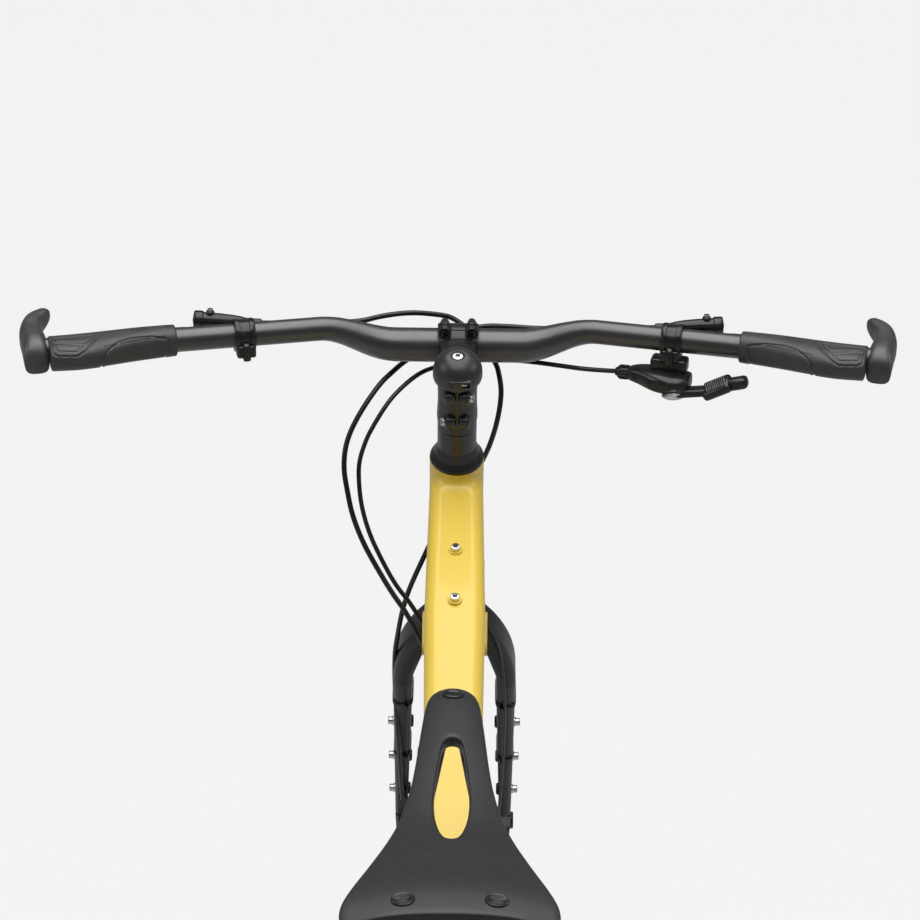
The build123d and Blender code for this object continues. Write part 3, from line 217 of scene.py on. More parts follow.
HEAD_TOP = Vector((0, 0.66630, -0.00865))
HEAD_LEAN = 20
BOTTOM_BRACKET = Vector((0, 0.23830, -0.62865))
REAR_AXLE = Vector((0, -0.20698, -0.56365))
FRONT_AXLE = Vector((0, 0.91832, -0.56365))
AXLE_DOWN = 0.607725
TOP_ANGLE, SEAT_ANGLE = radians(16), radians(73)
TOP_JOIN, DOWN_JOIN = 0.035, 0.112
BOSS_PITCH = 0.064
TOP_BOSS, DOWN_BOSS, SEAT_BOSS = 0.114, 0.250, 0.190
TOP_FACE, DOWN_FACE, SEAT_FACE = 0.0203, 0.0252, 0.0172
RACE, CROWN_LONG, BLADE_FOOT = 0.170, 0.140, 0.048
BLADE_LONG = AXLE_DOWN - RACE - CROWN_LONG - BLADE_FOOT
BLADE_AHEAD, BLADE_RAKE, BLADE_BOSS = 0.030, 0.022, 0.082
steering = moved(*HEAD_TOP) @ spun(HEAD_LEAN, "X")
screw_steel = finish("screw_steel", (0.50, 0.49, 0.47), (0.66, 0.65, 0.63), (0.16, 0.30), 300, 0, 0, 1.0)
top_slope = Vector((0, -cos(TOP_ANGLE), -sin(TOP_ANGLE)))
top_normal = Vector((0, -sin(TOP_ANGLE), cos(TOP_ANGLE)))
top_start = steering @ Vector((0, 0, -TOP_JOIN))
down_start = steering @ Vector((0, 0, -DOWN_JOIN))
down_slope = (BOTTOM_BRACKET - down_start).normalized()
down_normal = Vector((0, down_slope.z, -down_slope.y))
seat_slope = Vector((0, -cos(SEAT_ANGLE), sin(SEAT_ANGLE)))
seat_front = Vector((0, seat_slope.z, -seat_slope.y))


def tube_bosses(start, slope, first, out, face):
    """Places of two bosses along a tube, on the face that looks out."""
    return [facing(start + slope * (first + BOSS_PITCH * k) + out * face, out) for k in range(2)]


top_bosses = tube_bosses(top_start, top_slope, TOP_BOSS, top_normal, TOP_FACE)
frame_bosses = tube_bosses(down_start, down_slope, DOWN_BOSS, down_normal, DOWN_FACE)
frame_bosses += tube_bosses(BOTTOM_BRACKET, seat_slope, SEAT_BOSS, seat_front, SEAT_FACE)
collar = turned([(0.0036, 0), (0.0062, 0), (0.0062, 0.0009), (0.0056, 0.0016), (0.0036, 0.0016), (0.0036, 0)])
show("boss_collars", gather(bmesh.new(), collar, *top_bosses), yellow_paint, "frame", "frame_paint")
frame_screws = bmesh.new()
gather(frame_screws, socket_screw(0.0042, 0.0040, 0.0024),
       *[p @ moved(0, 0, 0.0014) for p in top_bosses + frame_bosses])
gather(frame_screws, turned([(0, 0), (0.0052, 0), (0.0052, 0.0010), (0.0046, 0.0016), (0, 0.0016)]),
       *frame_bosses)
show("boss_screws_frame", frame_screws, screw_steel, "frame", "steel")
fork_screws = bmesh.new()
blade_lean = atan2(BLADE_RAKE, BLADE_LONG)
outer_places, inner_places = [], []
for side in (1, -1):
    for k in range(3):
        rise = BLADE_BOSS + BOSS_PITCH * cos(blade_lean) * k
        ahead = BLADE_AHEAD - (rise - BLADE_FOOT) * tan(blade_lean)
        share = (rise - BLADE_FOOT) / BLADE_LONG
        outside = steering @ Vector((side * (0.063 - 0.001 * share), ahead, -AXLE_DOWN + rise))
        inside = steering @ Vector((side * (0.050 - 0.008 * share), ahead, -AXLE_DOWN + rise))
        outer_places.append(facing(outside, (side, 0, 0), (0, 0, 1)))
        inner_places.append(facing(inside, (-side, 0, 0), (0, 0, 1)))
gather(fork_screws, socket_screw(0.0040, 0.0044, 0.0023), *[p @ moved(0, 0, 0.0022) for p in outer_places])
gather(fork_screws, turned([(0, 0), (0.0050, 0), (0.0050, 0.0014), (0.0044, 0.0022), (0, 0.0022)]),
       *outer_places)
show("boss_screws_fork", fork_screws, screw_steel, "steering", "steel")
satin_black = finish("satin_black", (0.012, 0.012, 0.0122), (0.019, 0.019, 0.0195), (0.30, 0.42), 25, 1200,
                     0.00005)
blind_end = turned([(0.0066, -0.001), (0.0066, 0.0012), (0.0052, 0.0026), (0, 0.0026)])
show("boss_blind_ends", gather(bmesh.new(), blind_end, *inner_places), satin_black, "steering", "black_metal")

# Head joint: the weld between head tube and top tube, filed to a smooth hollow and painted with the frame.
# It is a sheet bent from the head tube's back down onto the top tube, and runs out to nothing at its sides.
HEAD_RADIUS = 0.0251
JOINT_SPREAD = radians(64)
TOP_FLAT, TOP_CORNER, TOP_LEVEL = 0.0125, 0.012, 0.0208
tilt = radians(HEAD_LEAN) - TOP_ANGLE
joint = bmesh.new()
bmesh.ops.create_grid(joint, x_segments=32, y_segments=10, size=0.5)
for point in joint.verts:
    turn = JOINT_SPREAD * 2 * point.co.x
    share = point.co.y + 0.5
    aside, behind = HEAD_RADIUS * sin(turn), -HEAD_RADIUS * cos(turn)
    corner = max(abs(aside) - TOP_FLAT, 0)
    level = TOP_LEVEL - (TOP_CORNER - (TOP_CORNER ** 2 - corner ** 2) ** 0.5)
    crease = steering @ Vector((aside, behind, (level - behind * sin(tilt)) / cos(tilt) - TOP_JOIN))
    on_head = steering @ Vector((aside, behind, -0.0030))
    on_top = top_start + top_slope * 0.0420 + top_normal * level + Vector((aside, 0, 0))
    fade = max(1 - (turn / JOINT_SPREAD) ** 2, 0) ** 0.5
    first, last = crease.lerp(on_head, fade), crease.lerp(on_top, fade)
    point.co = first.lerp(crease, share).lerp(crease.lerp(last, share), share)
bmesh.ops.remove_doubles(joint, verts=joint.verts, dist=1e-6)
show("head_joint", joint, yellow_paint, "frame", "frame_paint", sharp=60)

# Fork: crown and blades in satin black, made as one piece. Headset, spacers and lower cup: turned alloy,
# anodised black, slid on the steerer, with a thin seal on the cone. Handlebar: drawn alloy tube, satin black.
dress(satin_black, "fork_crown", "fork_blades")
black_anodised = finish("black_anodised", (0.011, 0.011, 0.0112), (0.018, 0.018, 0.0185), (0.24, 0.36), 40,
                        1600, 0.00004)
dress(black_anodised, "headset_cone", "spacers", "headset_lower_cup", "seat_clamp", "seatpost", "post_cap",
      "rear_axle", "front_axle", "bottom_bracket_cups")
bar_satin = finish("bar_satin", (0.009, 0.009, 0.0092), (0.013, 0.013, 0.0134), (0.34, 0.40), 40, 1600,
                   0.00001, sockets=(("Specular IOR Level", 1.0), ("Coat Weight", 0.6),
                                     ("Coat Roughness", 0.32)))
dress(bar_satin, "handlebar")
seal = turned([(0.0236, 0.0002), (0.0245, 0.0003), (0.0249, 0.0007), (0.0249, 0.0014), (0.0245, 0.0018),
               (0.0236, 0.0019)], 64)
show("cone_seal", gather(bmesh.new(), seal, steering), black_anodised, "steering", "black_metal")

# Stem: forged alloy, bead blasted: a waisted sleeve on the steerer, an arm and half of the bar's clamp.
# Two screws pinch the sleeve across its slit, and four in tall bosses facing the rider hold the faceplate.
bar_mid = Vector((0, 0.73103, 0.07663))
arm_foot = steering @ Vector((0, 0, 0.075))
arm_long = (bar_mid - arm_foot).length
arm = (bar_mid - arm_foot).normalized()
clamp_frame = facing(bar_mid, arm)


def block(size, round_by, segments=2):
    """A box with rounded edges about its own middle."""
    part = bmesh.new()
    bmesh.ops.create_cube(part, size=1)
    bmesh.ops.scale(part, vec=size, verts=part.verts)
    eased(part, part.edges[:], round_by, segments)
    return part


def wrapped(shape, around, along):
    """A skin: a grid rolled into a tube, each point placed by its turn and its share of the length."""
    part = bmesh.new()
    bmesh.ops.create_grid(part, x_segments=around, y_segments=along, size=0.5)
    for point in part.verts:
        point.co = shape((point.co.x + 0.5) * 2 * pi, point.co.y + 0.5)
    bmesh.ops.remove_doubles(part, verts=part.verts, dist=1e-6)
    bmesh.ops.holes_fill(part, edges=[e for e in part.edges if e.is_boundary], sides=0)
    bmesh.ops.recalc_face_normals(part, faces=part.faces)
    return part


def section(turn, square):
    """Point on a section of half-width 1, between a circle at square 2 and a box at a high square."""
    c, s = cos(turn), sin(turn)
    reach = (abs(c) ** square + abs(s) ** square) ** (-1 / square)
    return c * reach, s * reach


def arm_skin(turn, share):
    """Point of the arm, from inside the sleeve to inside the clamp."""
    wide, deep = 0.0290 + 0.0070 * share, 0.0330 + 0.0020 * share
    c, s = section(turn, 3.4)
    return Vector((c * wide / 2, s * deep / 2, -arm_long + 0.010 + share * (arm_long - 0.0275)))


PINCH_UP = (0.0605, 0.0895)
stem = bmesh.new()
gather(stem, turned([(0.0146, 0.0503), (0.0178, 0.0503), (0.0183, 0.0510), (0.0184, 0.0560), (0.0180, 0.0640),
                     (0.0175, 0.0750), (0.0177, 0.0850), (0.0180, 0.0920), (0.0180, 0.0960), (0.0175, 0.0968),
                     (0.0146, 0.0968), (0.0146, 0.0503)], 64), steering)
gather(stem, wrapped(arm_skin, 48, 10), clamp_frame)
gather(stem, block((0.0112, 0.0140, 0.0130), 0.0042, 3),
       *[steering @ moved(side * 0.0065, -0.0160, up) for side in (1, -1) for up in PINCH_UP])
SPLIT, SPLIT_GAP = -0.0063, 0.0006


def clamp_half(way):
    """Half of the bar's clamp behind or ahead of its split, about the bar, with X along the arm."""
    half = turned([(0.0160, -0.019), (0.0196, -0.019), (0.0205, -0.0178), (0.0205, 0.0178), (0.0196, 0.019),
                   (0.0160, 0.019), (0.0160, -0.019)], 64)
    bmesh.ops.bisect_plane(half, geom=half.verts[:] + half.edges[:] + half.faces[:],
                           plane_co=(SPLIT + way * SPLIT_GAP, 0, 0), plane_no=(-way, 0, 0), clear_outer=True)
    bmesh.ops.holes_fill(half, edges=[e for e in half.edges if e.is_boundary], sides=0)
    return half


gather(stem, clamp_half(-1), facing(bar_mid, (1, 0, 0), arm))
BOSS_ASIDE, BOSS_UP = 0.0125, 0.0205
boss_places = [clamp_frame @ moved(x, y, 0) for x in (-BOSS_ASIDE, BOSS_ASIDE) for y in (-BOSS_UP, BOSS_UP)]
gather(stem, turned([(0, -0.0118), (0.0041, -0.0118), (0.0041, -0.0146), (0.0050, -0.0152), (0.0058, -0.0148),
                     (0.0062, -0.0130), (0.0062, -0.0075), (0.0056, -0.0069), (0, -0.0069)]), *boss_places)
show("stem_body", stem, black_anodised, "steering", "black_metal", "stem", sharp=32)
faceplate = bmesh.new()
gather(faceplate, clamp_half(1), facing(bar_mid, (1, 0, 0), arm))
gather(faceplate, turned([(0, -0.0057), (0.0060, -0.0057), (0.0064, -0.0046), (0.0062, -0.0030),
                          (0.0036, 0.0085), (0.0027, 0.0098), (0, 0.0098)]), *boss_places)
show("clamp_faceplate", faceplate, black_anodised, "steering", "black_metal", "stem_faceplate")
clamp_screws = gather(bmesh.new(), socket_screw(0.0037, 0.0028, 0.0021),
                      *[p @ moved(0, 0, -0.0118) @ spun(180, "X") for p in boss_places])
show("clamp_screws", clamp_screws, black_anodised, "steering", "black_metal")
pinch_places = [facing(steering @ Vector((side * 0.0112, -0.0172, up)), (side, -0.5, 0), (0, 0, 1))
                for up, side in zip(PINCH_UP, (-1, 1))]
pinch_screws = gather(bmesh.new(), socket_screw(0.0040, 0.0030, 0.0022), *pinch_places)
show("pinch_screws", pinch_screws, screw_steel, "steering", "steel")

# Charger cap: moulded black plastic dome over the steerer with a steel screw in its top, and a socket in its
# back with a dark mouth and a metal tongue. Its top is left bare.
cap_plastic = finish("cap_plastic", (0.024, 0.024, 0.025), (0.033, 0.033, 0.034), (0.30, 0.40), 80, 2200,
                     0.00006)
DOME = [(0, 0.1212), (0.0054, 0.1212), (0.0056, 0.1232), (0.0062, 0.1240), (0.0084, 0.1239), (0.0125, 0.1226),
        (0.0162, 0.1202), (0.0190, 0.1170), (0.0208, 0.1134), (0.0218, 0.1096), (0.0221, 0.1056),
        (0.0221, 0.1016), (0.0217, 0.0998), (0.0204, 0.0988), (0.0184, 0.0978), (0.0178, 0.0972),
        (0.0146, 0.0972)]
cap = gather(bmesh.new(), turned(DOME, 72), steering)
show("cap_shell", cap, cap_plastic, "steering", "black_plastic", "charger_cap", sharp=44)
cap_screw = gather(bmesh.new(), socket_screw(0.0050, 0.0030, 0.0026), steering @ moved(0, 0, 0.1213))
show("cap_screw", cap_screw, screw_steel, "steering", "steel")
SOCKET_X, SOCKET_UP = 0.0025, 0.1080
mouth = block((0.0195, 0.0090, 0.0080), 0.0012)
lip = min(mouth.faces, key=lambda face: face.calc_center_median().y)
bmesh.ops.inset_region(mouth, faces=[lip], thickness=0.0004)
bmesh.ops.inset_region(mouth, faces=[lip], thickness=0.0002, depth=-0.0045)
socket = gather(bmesh.new(), mouth, steering @ moved(SOCKET_X, -0.0176, SOCKET_UP))
show("cap_socket", socket, black_anodised, "steering", "black_metal")
tongue = gather(bmesh.new(), block((0.0125, 0.0040, 0.0017), 0.0004),
                steering @ moved(SOCKET_X, -0.0196, SOCKET_UP))
show("socket_tongue", tongue, screw_steel, "steering", "steel")

# Grips: rubber moulded in two hardnesses, with a palm wing, a softer inset palm panel and two angular panels.
# The grooves between the panels are pressed in by the mould.
BAR_SWEEP = radians(14.5)
BEND_IN, BEND_LONG, BAR_RISE = 0.058, 0.070, 0.018
bar_out = Vector((cos(BAR_SWEEP), -sin(BAR_SWEEP), 0))


def bar_point(x):
    """Centre of the handlebar at a distance to the right."""
    u = min(max((x - BEND_IN) / BEND_LONG, 0), 1)
    back = tan(BAR_SWEEP) * (BEND_LONG * u * u / 2 + max(x - BEND_IN - BEND_LONG, 0))
    return bar_mid + Vector((x, -back, BAR_RISE * u * u * (3 - 2 * u)))


def control(x):
    """Place of a control on the bar: X out along it, Y ahead, Z up."""
    return facing(bar_point(x), (0, 0, 1), bar_out)


def between(table, share):
    """Row of values at a share, on a smooth line through a table's rows, whose first column is the share."""
    last = len(table) - 1
    k = max(i for i in range(last) if i == 0 or table[i][0] <= share)
    before, here, there, after = table[max(k - 1, 0)], table[k], table[k + 1], table[min(k + 2, last)]
    step = there[0] - here[0]
    u = min(max((share - here[0]) / step, 0), 1)
    row = []
    for p, q, r, s in zip(before[1:], here[1:], there[1:], after[1:]):
        leave = (r - p) / (there[0] - before[0]) * step
        reach = (s - q) / (after[0] - here[0]) * step
        bend, twist = 3 * (r - q) - 2 * leave - reach, leave + reach - 2 * (r - q)
        row.append(q + leave * u + bend * u * u + twist * u ** 3)
    return row


def from_run(point, run):
    """Distance of a point from a run of straight lines."""
    best = 1e9
    for a, b in zip(run, run[1:]):
        ab = b - a
        t = min(max((point - a).dot(ab) / ab.length_squared, 0), 1)
        best = min(best, (point - a - ab * t).length)
    return best


GRIP_IN, GRIP_OUT = 0.257, 0.368
GRIP_LONG = (GRIP_OUT - GRIP_IN) / cos(BAR_SWEEP)
GRIP_TABLE = [(0.0, 0.0275, 0.0275, 0.0), (0.06, 0.0285, 0.0280, 0.0005), (0.3, 0.0340, 0.0285, 0.003),
              (0.75, 0.0480, 0.0270, 0.0100), (1.0, 0.0460, 0.0265, 0.0095)]
palm_groove = [(0.10, -70), (0.075, 10), (0.075, 28), (0.20, 44), (0.37, 50), (0.46, 45), (0.55, 27),
               (0.60, -2), (0.615, -55), (0.62, -80)]
outer_groove = [(0.985, 92), (0.985, 36), (0.95, 24), (0.80, 20), (0.73, 36), (0.66, 62), (0.56, 112)]
upper_panel = [(0.91, 100), (0.655, 99), (0.66, 84), (0.725, 64), (0.95, 79), (0.96, 100)]
lower_panel = [(0.965, 72), (0.75, 54), (0.80, 35), (0.955, 40)]
GRIP_ROUND = 0.0185
GROOVE_HALF, GROOVE_WALL = 0.0012, 0.0006
PALM_DEEP, PALM_FROM, PALM_TO = 0.0004, (0.09, -1.3), (0.585, radians(40))
END_LONG, END_ROUND = 0.012, 0.10


def closed(run):
    """A run of points that comes back to its first."""
    return run + run[:1]


def laid_out(run):
    """A groove's run of shares and degrees, in metres along and around the grip."""
    return [Vector((share * GRIP_LONG, radians(turn) * GRIP_ROUND)) for share, turn in run]


grooves = [(laid_out(palm_groove), 0.0010), (laid_out(outer_groove), 0.0011),
           (laid_out(closed(upper_panel)), 0.0007), (laid_out(closed(lower_panel)), 0.0007)]


def grip_skin(turn, share):
    """Point of the right grip in its own place: X along the bar, turn from the back up and over."""
    wide, deep, back = between(GRIP_TABLE, share)
    angle = turn if turn < pi else turn - 2 * pi
    here = Vector((share * GRIP_LONG, angle * GRIP_ROUND))
    sunk = 0.0
    for run, deep_by in grooves:
        away = from_run(here, run)
        if away < GROOVE_HALF:
            sunk = max(sunk, deep_by * min(1, (GROOVE_HALF - away) / GROOVE_WALL))
    on_palm = PALM_FROM[0] < share < PALM_TO[0] and PALM_FROM[1] < angle < PALM_TO[1]
    end = min(1, min(share, 1 - share) / END_LONG)
    round_off = 1 - END_ROUND * (1 - end) ** 2
    c, s = section(angle, 2.5)
    lower = sunk + (PALM_DEEP if on_palm else 0)
    return Vector((share * GRIP_LONG, -back - (wide / 2 * round_off - lower) * c,
                   (deep / 2 * round_off - lower) * s))


grip_rubber = finish("grip_rubber", (0.026, 0.026, 0.027), (0.037, 0.037, 0.039), (0.42, 0.56), 60, 2600,
                     0.00016, sockets=(("Specular IOR Level", 0.8),))
mirror = Matrix.Scale(-1, 4, (1, 0, 0))
SIDES = (("right", Matrix()), ("left", mirror))
for name, side in SIDES:
    grip = gather(bmesh.new(), wrapped(grip_skin, 184, 160), side @ control(GRIP_IN))
    show(f"grip_skin_{name}", grip, grip_rubber, "steering", "grip_rubber", f"grip_{name}", sharp=60)

# Bar ends: short rubber-covered horns clamped at the bar's ends, curving forward and inward.
# Each is one smooth moulding, full against the grip and thin at its tip.
# Their rubber is painted lighter than the grips' as a painted highlight, standing in for the light on their
# upturned tops. The rubber itself is black.
horn_rubber_painted_highlight = finish("horn_rubber_painted_highlight", (0.034, 0.034, 0.036), (0.050, 0.050, 0.053), (0.34, 0.46), 50, 3000,
                     0.00014, sockets=(("Specular IOR Level", 0.9),))
# The columns are share, out, ahead, up, turn inward in degrees, width and depth.
HORN_TABLE = [(0.00, 0.0118, -0.0168, -0.0100, 0, 0.0185, 0.0105),
              (0.02, 0.0118, -0.0161, -0.0078, 0, 0.0210, 0.0160),
              (0.06, 0.0118, -0.0142, -0.0052, 0, 0.0222, 0.0212),
              (0.12, 0.0118, -0.0105, -0.0028, 0, 0.0226, 0.0260),
              (0.20, 0.0118, -0.0050, -0.0012, 0, 0.0228, 0.0294),
              (0.30, 0.0119, 0.0020, 0.0000, 1, 0.0228, 0.0312),
              (0.42, 0.0121, 0.0100, 0.0012, 3, 0.0226, 0.0308),
              (0.62, 0.0130, 0.0245, 0.0042, 10, 0.0214, 0.0268),
              (0.80, 0.0090, 0.0425, 0.0088, 36, 0.0180, 0.0220),
              (0.93, -0.0005, 0.0535, 0.0122, 54, 0.0130, 0.0160),
              (0.98, -0.0048, 0.0565, 0.0136, 60, 0.0078, 0.0098),
              (1.00, -0.0062, 0.0572, 0.0140, 62, 0.0025, 0.0030)]


def horn_skin(turn, share):
    """Point of the right horn in the place of the grip's end."""
    out, ahead, up, inward, wide, deep = between(HORN_TABLE, share)
    across = Vector((cos(radians(inward)), sin(radians(inward)), 0))
    c, s = section(turn, 3)
    return Vector((out, ahead, up)) + across * (c * wide / 2) + Vector((0, 0, s * deep / 2))


horns = gather(bmesh.new(), wrapped(horn_skin, 40, 72), control(GRIP_OUT), mirror @ control(GRIP_OUT))
show("bar_end_horns", horns, horn_rubber_painted_highlight, "steering", "grip_rubber", "bar_ends", sharp=60)

# Brake controls: forged clamp band hinged round the bar, a fluid cylinder set out ahead of it with its cap
# and bleed screw, a pivot and a hooked lever blade below the grip. All black, with small bare screws.
hold = control(0.1965)
gloss_black = finish("gloss_black", (0.008, 0.008, 0.0082), (0.014, 0.014, 0.0145), (0.18, 0.30), 120, 1500,
                     0.00003)
barrel = facing(hold @ Vector((0.004, 0.025, 0.004)), hold.to_3x3() @ Vector((0.96, 0.26, 0.04)), (0, 0, 1))
along_bar = hold @ spun(90, "Y")
BLEED_ALONG = 0.023
BAND = [(0.0112, -0.0094), (0.0146, -0.0094), (0.0152, -0.0086), (0.0152, -0.0048), (0.0142, -0.0042),
        (0.0142, 0.0042), (0.0152, 0.0048), (0.0152, 0.0086), (0.0146, 0.0094), (0.0112, 0.0094)]
CYLINDER = [(0, -0.0245), (0.0036, -0.0245), (0.0040, -0.0240), (0.0040, -0.0100), (0.0052, -0.0060),
            (0.0062, 0.0020), (0.0070, 0.0140), (0.0072, 0.0260), (0.0074, 0.0290), (0.0084, 0.0298),
            (0.0086, 0.0308), (0.0086, 0.0365), (0.0080, 0.0378), (0.0060, 0.0382), (0.0054, 0.0370),
            (0, 0.0370)]
BLEED_BOSS = [(0, -0.001), (0.0046, -0.001), (0.0042, 0.0014), (0.0034, 0.0030), (0.0026, 0.0034),
              (0, 0.0034)]
# The columns are size, rounding, its steps and place, for the band's foot, hinge, ear, pivot and web.
BRAKE_BLOCKS = [((0.0170, 0.0180, 0.0120), 0.0028, 3, (0, 0.0165, 0.002)),
                ((0.0176, 0.0110, 0.0120), 0.0024, 3, (0, -0.0110, -0.0115)),
                ((0.0070, 0.0085, 0.0150), 0.0015, 2, (0, -0.0140, -0.0125)),
                ((0.0180, 0.0170, 0.0150), 0.0040, 3, (0.032, 0.036, -0.008)),
                ((0.0210, 0.0150, 0.0100), 0.0030, 3, (0.016, 0.029, -0.003))]
for name, side in SIDES:
    body = bmesh.new()
    gather(body, turned(closed(BAND), 48), side @ along_bar)
    for size, round_by, steps, at in BRAKE_BLOCKS:
        gather(body, block(size, round_by, steps), side @ hold @ moved(*at))
    gather(body, turned(CYLINDER, 40), side @ barrel)
    gather(body, turned(BLEED_BOSS, 20), side @ barrel @ moved(0.0064, 0, BLEED_ALONG) @ spun(90, "Y"))
    show(f"brake_control_{name}", body, gloss_black, "steering", "black_metal", f"brake_body_{name}")
brake_screws = bmesh.new()
for _, side in SIDES:
    gather(brake_screws, socket_screw(0.0027, 0.0022, 0.0015),
           side @ barrel @ moved(0, 0, 0.0368),
           side @ barrel @ moved(0.0092, 0, BLEED_ALONG) @ spun(90, "Y"),
           side @ hold @ moved(0, -0.0140, -0.0052))
show("brake_screws", brake_screws, screw_steel, "steering", "steel")
# The columns are share, out, ahead, up, thickness and height.
BLADE_TABLE = [(0.0, 0.034, 0.043, -0.013, 0.009, 0.013), (0.18, 0.052, 0.053, -0.0145, 0.0085, 0.0125),
               (0.45, 0.082, 0.0525, -0.0155, 0.0075, 0.0118), (0.75, 0.116, 0.0465, -0.016, 0.007, 0.0112),
               (0.90, 0.135, 0.0445, -0.016, 0.007, 0.0112), (1.0, 0.150, 0.0480, -0.016, 0.0085, 0.0115)]
TIP_LONG = 0.03


def blade_skin(turn, share):
    """Point of the right lever blade in the brake control's place."""
    out, ahead, up, thick, tall = between(BLADE_TABLE, share)
    tip = min(1, min(share, 1 - share) / TIP_LONG)
    size = max((1 - (1 - tip) ** 2) ** 0.5, 0.02)
    c, s = section(turn, 3)
    return Vector((out, ahead + c * size * thick / 2, up + s * size * tall / 2))


levers = gather(bmesh.new(), wrapped(blade_skin, 24, 60), hold, mirror @ hold)
show("lever_blades", levers, gloss_black, "steering", "black_metal", "brake_levers", sharp=60)

# Shifter: moulded pod under the right of the bar, held by the brake's band, with a fluted cable adjuster at
# its inner end, a long ribbed thumb paddle and a short release paddle ahead. Its cover is left bare.
pod = control(0.184)
pod_plastic = finish("pod_plastic", (0.011, 0.011, 0.0112), (0.018, 0.018, 0.0185), (0.20, 0.32), 90, 1800,
                     0.00006)
# The columns are share, out, ahead, up, width and height.
POD_TABLE = [(0.0, -0.0262, -0.004, -0.0350, 0.0060, 0.0060),
             (0.02, -0.0258, -0.004, -0.0350, 0.0120, 0.0110),
             (0.18, -0.0150, -0.006, -0.0345, 0.0220, 0.0165),
             (0.45, 0.0020, -0.010, -0.0355, 0.0350, 0.0200), (0.72, 0.0190, -0.012, -0.0360, 0.0370, 0.0195),
             (0.95, 0.0320, -0.011, -0.0360, 0.0280, 0.0150), (0.99, 0.0335, -0.011, -0.0360, 0.0170, 0.0090),
             (1.0, 0.0336, -0.011, -0.0360, 0.0060, 0.0030)]


def pod_skin(turn, share):
    """Point of the shifter's pod, along the bar."""
    out, ahead, up, wide, tall = between(POD_TABLE, share)
    c, s = section(turn, 2.8)
    return Vector((out, ahead + c * wide / 2, up + s * tall / 2))


shifter = bmesh.new()
gather(shifter, wrapped(pod_skin, 44, 60), pod)
gather(shifter, block((0.0340, 0.0180, 0.0130), 0.003, 3), pod @ moved(0.0120, -0.005, -0.0215))
gather(shifter, block((0.0200, 0.0150, 0.0080), 0.003, 3), pod @ moved(0.0130, -0.006, -0.0150))
cover_place = facing(pod @ Vector((0.0200, -0.0230, -0.0450)), (0, -0.66, -0.75))
gather(shifter, turned([(0, -0.012), (0.0100, -0.012), (0.0108, 0.0002), (0.0100, 0.0012), (0, 0.0012)], 40),
       cover_place)
show("shifter_pod", shifter, pod_plastic, "steering", "black_plastic", "shifter")
adjuster = bmesh.new()
FLUTES = 14
adjuster_place = facing(pod @ Vector((-0.0240, -0.004, -0.0350)), -bar_out, (0, 0, 1))
gather(adjuster, turned([(0, 0), (0.0058, 0), (0.0062, 0.001), (0.0062, 0.0105), (0.0056, 0.0116),
                         (0.0042, 0.0120), (0.0038, 0.0140), (0, 0.0140)], 36), adjuster_place)
gather(adjuster, block((0.0014, 0.0012, 0.0086), 0.0004, 1),
       *[adjuster_place @ spun(360 * k / FLUTES, "Z") @ moved(0.0062, 0, 0.0058) for k in range(FLUTES)])
show("cable_adjuster", adjuster, pod_plastic, "steering", "black_plastic")
paddles = bmesh.new()
pad_place = pod @ moved(0.0600, -0.0240, -0.0325) @ spun(-6, "Z") @ spun(-30, "Y") @ spun(22, "X")
reach_place = pod @ moved(0.0400, -0.0205, -0.0400) @ spun(-10, "Y")
tip_place = pod @ moved(0.0770, -0.0225, -0.0270) @ spun(-16, "Y")
release_place = pod @ moved(0.012, 0.016, -0.044) @ spun(14, "Z")
for size, round_by, place in (((0.0360, 0.0150, 0.0075), 0.0028, reach_place),
                              ((0.0280, 0.0200, 0.0090), 0.0032, pad_place),
                              ((0.0210, 0.0135, 0.0110), 0.0040, tip_place),
                              ((0.0340, 0.0130, 0.0060), 0.0022, release_place)):
    gather(paddles, block(size, round_by, 3), place)
show("shift_levers", paddles, pod_plastic, "steering", "black_plastic", "shift_paddles")
rib_places = [pad_place @ moved(-0.0092 + 0.0021 * k, 0, 0.0048) @ spun(14, "Z") for k in range(10)]
ribs = gather(bmesh.new(), block((0.0010, 0.0150, 0.0013), 0.0003, 1), *rib_places)
rib_grey = finish("rib_grey", (0.10, 0.10, 0.102), (0.17, 0.17, 0.175), (0.35, 0.5), 200)
show("paddle_ribs", ribs, rib_grey, "steering", "black_plastic")
lid = turned([(0, 0.0010), (0.0090, 0.0010), (0.0090, 0.0016), (0.0082, 0.0022), (0, 0.0025)], 40)
show("pivot_cover", gather(bmesh.new(), lid, cover_place), screw_steel, "steering", "steel")

# Hoses and housings: black plastic over braid or coil. The front hose goes over the bar and down the left
# blade, the other two loop at the left into the down tube, and the wire climbs the right blade.
hose_black = finish("hose_black", (0.006, 0.006, 0.006), (0.011, 0.011, 0.011), (0.22, 0.34), 30)
dress(hose_black, "rear_lines")


def hose(name, route, radius, *stands_for):
    """A tube along a smooth line drawn by its route's points."""
    line = bpy.data.curves.new(name, "CURVE")
    line.dimensions = "3D"
    spline = line.splines.new("NURBS")
    spline.points.add(len(route) - 1)
    for point, spot in zip(spline.points, route):
        point.co = (*spot, 1)
    spline.use_endpoint_u = True
    spline.order_u = 3
    spline.resolution_u = 10
    line.bevel_depth = radius
    line.bevel_resolution = 3
    line.use_fill_caps = True
    drawn = hung(name + "_line", line)
    bpy.context.view_layer.update()
    mesh = bpy.data.meshes.new_from_object(drawn.evaluated_get(bpy.context.evaluated_depsgraph_get()))
    bpy.data.objects.remove(drawn)
    mesh.materials.clear()
    mesh.materials.append(hose_black)
    mesh.shade_smooth()
    mesh.set_sharp_from_angle(angle=radians(50))
    tube = hung(name, mesh)
    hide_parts(*stands_for)
    return tube


def by_bar(*points):
    """Points given by how far right of, ahead of and above the handlebar's middle they are."""
    return [bar_mid + Vector(point) for point in points]


def by_fork(*points):
    """Points given in the steering's own place, from the top of the head tube."""
    return [steering @ Vector(point) for point in points]


